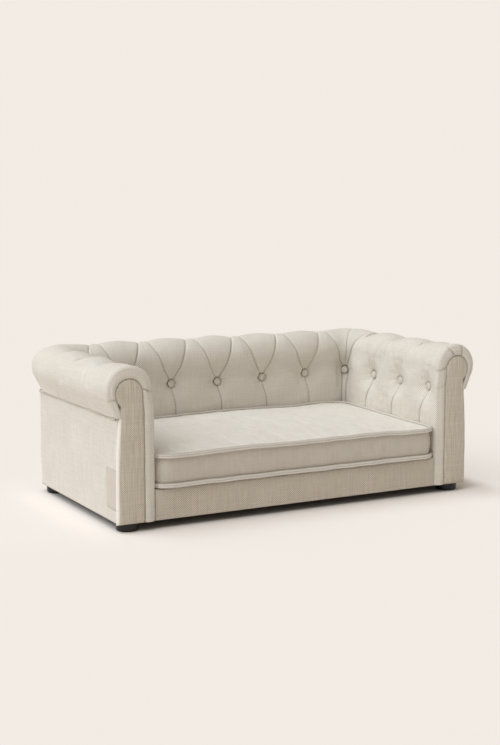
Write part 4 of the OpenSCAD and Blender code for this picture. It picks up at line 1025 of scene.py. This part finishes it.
# the cover swells as cloth: its seams and underside are held, air pressure pushes the rest out, and no
# point moves further than its cap
def inflate(points, faces, held, cap):
    mesh = bpy.data.meshes.new("swelling")
    mesh.from_pydata(points.tolist(), [], faces.tolist())
    body = bpy.data.objects.new("swelling", mesh)
    bpy.context.scene.collection.objects.link(body)
    group = body.vertex_groups.new(name="held")
    group.add(np.flatnonzero(held).tolist(), 1.0, "REPLACE")
    swelling = body.modifiers.new("cloth", "CLOTH")
    fabric = swelling.settings
    fabric.vertex_group_mass = "held"
    fabric.quality, fabric.mass = 6, 0.3
    fabric.tension_stiffness = fabric.compression_stiffness = 18
    fabric.shear_stiffness, fabric.bending_stiffness = 8, 0.6
    fabric.shrink_min = -0.006
    fabric.use_pressure, fabric.uniform_pressure_force = True, cushion["pressure"]
    fabric.effector_weights.gravity = 0
    swelling.point_cache.frame_end = cushion["steps"]
    scene = bpy.context.scene
    for step in range(1, cushion["steps"] + 1):
        scene.frame_set(step)
    swollen = body.evaluated_get(bpy.context.evaluated_depsgraph_get()).to_mesh()
    moved = np.empty(len(points) * 3, np.float32)
    swollen.vertices.foreach_get("co", moved)
    shift = moved.reshape(-1, 3) - points
    bpy.data.objects.remove(body)
    bpy.data.meshes.remove(mesh)
    scene.frame_set(1)
    size = np.linalg.norm(shift, axis=1)[:, None]
    cap = cap[:, None]
    print("cushion swelled by up to", round(float(size.max()) * 1000, 1), "mm")
    return points + shift * np.where(size > 1e-9, cap * np.tanh(size / cap) / np.maximum(size, 1e-9), 0)


# the rear band lies flat under the zip tape: near it, nothing stands further back than just under the tape
def pressBand(points):
    low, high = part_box("zip_tape")
    x, y, z = points.T
    near = smooth((high[0] + cushion["pressAcross"] - np.abs(x)) / 0.008)
    near = near * smooth((z - low[2] + cushion["pressUp"]) / 0.006)
    near = near * smooth((high[2] + cushion["pressUp"] - z) / 0.006) * (y > 0.1)
    points[:, 1] = mixed(y, np.minimum(y, high[1] - cushion["pressUnder"]), near)


# top, bottom and band are joined at the two seams; gives the seams, their outward directions and the
# length along them for the welts
def makeCushion():
    s, t, x, y = cushionPlan()
    ny, nx = x.shape
    crown = (1 - np.abs(s) ** 3) * (1 - np.abs(t) ** 3)
    top = spread(x, y, seamHeight(x, y, True) + cushion["crown"] * crown)
    flat = cushion["flatDrop"] * (1 - np.maximum(np.abs(s), np.abs(t)) ** 12)
    bottom = spread(x, y, seamHeight(x, y, False) - flat)
    ids = np.arange(nx * ny).reshape(ny, nx)
    loop = np.concatenate([ids[0, :-1], ids[:-1, -1], ids[-1, :0:-1], ids[:0:-1, 0]])
    upper, lower = top.reshape(-1, 3)[loop], bottom.reshape(-1, 3)[loop]
    step = np.roll(upper, -1, 0) - np.roll(upper, 1, 0)
    outward = spread(step[:, 1], -step[:, 0], 0.0)
    outward = outward / np.linalg.norm(outward, axis=1)[:, None]
    share = np.linspace(0, 1, cushion["bandRows"] + 2)[1:-1][:, None, None]
    band = mixed(lower[None], upper[None], share) + outward[None] * cushion["swell"] * np.sin(math.pi * share)
    points = np.concatenate([top.reshape(-1, 3), bottom.reshape(-1, 3), band.reshape(-1, 3)])
    around = len(loop)
    bandIds = 2 * nx * ny + np.arange(len(band) * around).reshape(-1, around)
    bandIds = np.concatenate([(loop + nx * ny)[None], bandIds, loop[None]])
    bandFaces = cornersOf(np.hstack([bandIds, bandIds[:, :1]])).reshape(-1, 4)
    topFaces = gridFaces(ny, nx)
    faces = np.concatenate([topFaces, topFaces[:, ::-1] + nx * ny, bandFaces])

    held = np.zeros(len(points), bool)
    held[loop] = True
    held[nx * ny:2 * nx * ny] = True
    cap = np.full(len(points), cushion["capBand"])
    cap[:nx * ny] = cushion["capTop"]
    points = inflate(points, faces, held, cap)
    px, py = points[:nx * ny, 0], points[:nx * ny, 1]
    dimples = cushion["dimples"] * wander(px, py, 0.035, 91)
    dimples = dimples + cushion["fineDimples"] * wander(px * 0.6, py, 0.018, 92)
    points[:nx * ny, 2] += dimples * smooth(crown.ravel() / 0.12)
    pressBand(points)

    steps = np.linalg.norm(np.diff(np.vstack([upper, upper[:1]]), axis=0), axis=1)
    along = np.concatenate([[0], np.cumsum(steps)])
    plan = points[:, :2]
    rowShare = np.linspace(0, 1, cushion["bandRows"] + 2) * (cushion["highSeam"] - cushion["lowSeam"])
    bandUv = cornersOf(spread(along, rowShare[:, None])).reshape(-1, 4, 2)
    uv = np.concatenate([plan[topFaces], plan[topFaces[:, ::-1]], bandUv])
    paintedBandShade = np.zeros(len(points))
    paintedBandShade[2 * nx * ny:] = 1.0  # painted shade on the band, which faces sideways, against the lighter top
    piece = addMesh("cushion_shell", points, faces, uv, fold=paintedBandShade)
    finer = piece.modifiers.new("finer", "SUBSURF")
    finer.levels = finer.render_levels = 1
    dress(piece, "cushion", cloth["cushion"], ("cushion_cover",))
    return upper, lower, outward, along


welt = {"lobe": 0.0032, "apart": 0.0045, "stand": 0.0046, "edgeShade": 0.85, "around": 28, "steps": 900}


# welt: two round lobes one above the other, with a stitched groove between them, carried round the seam;
# it has painted shade above and below, where it meets the cover
def makeWelt(name, node, seam, outward, along):
    a = np.linspace(0, 2 * math.pi, welt["around"], endpoint=False)[:, None]
    reach = 0.0
    for centre in (welt["apart"] / 2, -welt["apart"] / 2):
        dot = np.sin(a) * centre
        inside = np.maximum(welt["lobe"] ** 2 - centre ** 2 + dot ** 2, 0)
        reach = np.maximum(reach, dot + np.sqrt(inside))
    place = np.linspace(0, along[-1], welt["steps"], endpoint=False)
    path, out = (spread(*(np.interp(place, along, axis) for axis in np.vstack([line, line[:1]]).T))
                 for line in (seam, outward))
    for _ in range(3):  # evens the corners of the path
        path = (np.roll(path, 1, 0) + path * 2 + np.roll(path, -1, 0)) / 4
    out = out / np.linalg.norm(out, axis=1)[:, None]
    path = path + out * welt["stand"]
    aside, up = np.cos(a) * reach, np.sin(a) * reach
    points = path[None] + aside[..., None] * out[None] + up[..., None] * np.array([0, 0, 1.0])
    # painted shade above and below, where the welt meets the cover
    shade = welt["edgeShade"] * bell(np.abs(np.sin(a)) - 1, 0.16)
    piece = addGrid(name, points, spread(place[None], up), closed=True, fold=shade)
    dress(piece, "cushion", cloth["welt"], (node,))


upperSeam, lowerSeam, seamOut, seamAlong = makeCushion()
makeWelt("upper_welt", "upper_piping", upperSeam, seamOut, seamAlong)
makeWelt("lower_welt", "lower_piping", lowerSeam, seamOut, seamAlong)
print("cushion and welts")


zipper = {"tooth": 0.0017, "length": 0.0032, "wide": 0.00052, "thick": 0.00055, "stand": 0.0006,
          "stagger": 0.0005, "tapeRise": 0.0003, "halfGap": 0.0002}


# zip: two strips of tape with a coil of small rounded teeth along the line where they meet
def makeZip():
    low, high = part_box("zip_tape")
    middle = (low[2] + high[2]) / 2
    x = np.linspace(low[0], high[0], 220)[None, :]
    z = np.concatenate([np.linspace(low[2], middle - zipper["halfGap"], 9),
                        np.linspace(middle + zipper["halfGap"], high[2], 9)])[:, None]
    y = high[1] + zipper["tapeRise"] * (1 - bell(z - middle, 0.0012)) + 0.0002 * wander(x, z, 0.03, 95)
    tape = addGrid("zip_ribbon", spread(x, y, z), spread(x, z), flip=True)
    dress(tape, "cushion", cloth["tape"], ("zip_tape",))

    # a tooth is four rings of six points, the end ones small, closed by two faces at each end
    count = int((high[0] - low[0]) / zipper["tooth"])
    around = np.linspace(0, 2 * math.pi, 6, endpoint=False)
    tips = np.array([-1.0, -0.72, 0.72, 1.0])
    girth = np.array([0.25, 1.0, 1.0, 0.25])
    tx = np.cos(around) * girth[:, None] * zipper["wide"]
    ty = np.sin(around) * girth[:, None] * zipper["thick"]
    shape = spread(tx, ty, (tips * zipper["length"] / 2)[:, None]).reshape(-1, 3)
    number = np.arange(count)
    centres = spread(low[0] + (number + 0.5) * zipper["tooth"], high[1] + zipper["stand"],
                     middle + zipper["stagger"] * (number % 2 * 2 - 1))
    points = (centres[:, None] + shape[None]).reshape(-1, 3)
    faces = gridFaces(4, 6, closeCols=True)
    faces = np.concatenate([faces, [[0, 5, 4, 3], [0, 3, 2, 1], [18, 19, 20, 21], [18, 21, 22, 23]]])
    faces = (faces[None] + (number * len(shape))[:, None, None]).reshape(-1, 4)
    teeth = addMesh("zip_teeth", points, faces, points[:, [0, 2]])
    dress(teeth, "cushion", cloth["tape"])


makeZip()
print("zip")


# floor and light: soft light from the left and above. To the camera the floor and the backdrop show one
# pale colour: the floor mixes it with what the lamps give, least under the sofa, all of it far away. Near the
# sofa this glow is painted light that makes the sofa's cast shadow fainter, soonest at the sides
stage = {
    "backdrop": (0.892, 0.835, 0.778), "floor": (0.903, 0.845, 0.800), "floorHalf": 60.0, "rough": 0.9,
    "sky": (1.0, 0.90, 0.78), "skyStrength": 0.38,
    "sunStrength": 2.6, "sunAngle": 70.0, "sunFrom": (-0.60, -0.02, 0.85), "sunColour": (0.90, 0.955, 1.0),
    # share of plain glow between the near distances, all of it at the far ones; to the sides it comes sooner.
    # The near share is painted light over the sofa's shadow
    "glow": 0.62, "nearReach": (0.09, 0.23), "farReach": (0.5, 2.5), "halfDepth": 0.235, "sideways": 4.0,
}


# distance from the sofa's plan = root of (sideways x^2 + y^2) beyond its edges; each reach goes from 0 to
# 1 in an S over its two distances, and the glow shows only to rays from the camera, a gloss or a glass
def makeFloorMaterial():
    kit = Kit("pale floor")
    x, y, _ = kit.place(onObject=True)
    beyondX = kit.sum("MAXIMUM", kit.sum("ABSOLUTE", x, 0.0) - halfWidth, 0.0)
    beyondY = kit.sum("MAXIMUM", kit.sum("ABSOLUTE", y, 0.0) - stage["halfDepth"], 0.0)
    away = kit.sum("POWER", beyondX * beyondX * stage["sideways"] + beyondY * beyondY, 0.5)
    # near the sofa the glow is painted light that makes the sofa's cast shadow fainter
    share = kit.held(away, *stage["nearReach"]) * stage["glow"]
    share = share + kit.held(away, *stage["farReach"]) * (1 - stage["glow"])
    seen = kit.node("ShaderNodeLightPath")
    rays = seen.socket.node.outputs
    for ray in ("Is Glossy Ray", "Is Transmission Ray"):
        seen = kit.sum("MAXIMUM", seen, Wire(kit, rays[ray]))
    glow = kit.node("ShaderNodeEmission", None, {"Color": stage["backdrop"]})
    lit = Wire(kit, kit.shader.outputs[0])
    both = kit.node("ShaderNodeMixShader", None, {0: share * seen, 1: lit, 2: glow})
    kit.tree.links.new(both.socket, kit.tree.nodes["Material Output"].inputs["Surface"])
    return kit.finish(stage["floor"], stage["rough"], Specular_IOR_Level=0.0)


def makeFloor():
    half = stage["floorHalf"]
    corners = np.array([[-half, -half, 0], [half, -half, 0], [half, half, 0], [-half, half, 0]])
    floor = addMesh("floor", corners, np.array([[0, 1, 2, 3]]), shadeSmooth=False)
    floor.data.materials.append(makeFloorMaterial())


# the sky lights the sofa, but rays that see the backdrop get its plain colour
def makeWorld():
    world = bpy.data.worlds.new("studio")
    bpy.context.scene.world = world
    world.use_nodes = True
    nodes = world.node_tree.nodes
    back, seen = nodes["Background"], nodes.new("ShaderNodeBackground")
    back.inputs["Color"].default_value = (*stage["sky"], 1)
    back.inputs["Strength"].default_value = stage["skyStrength"]
    seen.inputs["Color"].default_value = (*stage["backdrop"], 1)
    mixer, rays = nodes.new("ShaderNodeMixShader"), nodes.new("ShaderNodeLightPath").outputs
    most, more = nodes.new("ShaderNodeMath"), nodes.new("ShaderNodeMath")
    most.operation = more.operation = "MAXIMUM"
    for start, end in (
            (rays["Is Camera Ray"], most.inputs[0]), (rays["Is Glossy Ray"], most.inputs[1]),
            (most.outputs[0], more.inputs[0]), (rays["Is Transmission Ray"], more.inputs[1]),
            (more.outputs[0], mixer.inputs[0]), (back.outputs[0], mixer.inputs[1]),
            (seen.outputs[0], mixer.inputs[2]), (mixer.outputs[0], nodes["World Output"].inputs[0])):
        world.node_tree.links.new(start, end)


def makeSun():
    lamp = bpy.data.lights.new("softSun", "SUN")
    lamp.energy, lamp.angle = stage["sunStrength"], math.radians(stage["sunAngle"])
    lamp.color = stage["sunColour"]
    sun = bpy.data.objects.new("softSun", lamp)
    sun.rotation_mode = "QUATERNION"
    sun.rotation_quaternion = (-Vector(stage["sunFrom"])).to_track_quat("-Z", "Y")
    bpy.context.scene.collection.objects.link(sun)


# camera: fitted to the photograph; the focal length is in pixels of an image 500 wide and 745 high
view = {
    "place": (-1.5290, -2.8026, 0.71271), "yaw": 28.60, "pitch": 7.62,
    "focalPixels": 1344.0, "imageHeight": 745, "sensor": 36.0,
}


def makeCamera():
    data = bpy.data.cameras.new("camera")
    data.sensor_width = view["sensor"]
    data.lens = view["focalPixels"] / view["imageHeight"] * data.sensor_width
    camera = bpy.data.objects.new("camera", data)
    bpy.context.scene.collection.objects.link(camera)
    camera.location = view["place"]
    camera.rotation_euler = (math.radians(90 - view["pitch"]), 0, math.radians(-view["yaw"]))
    bpy.context.scene.camera = camera


makeFloor()
makeWorld()
makeSun()
makeCamera()
bpy.context.scene.view_settings.view_transform = "Standard"
print("stage, light and camera")
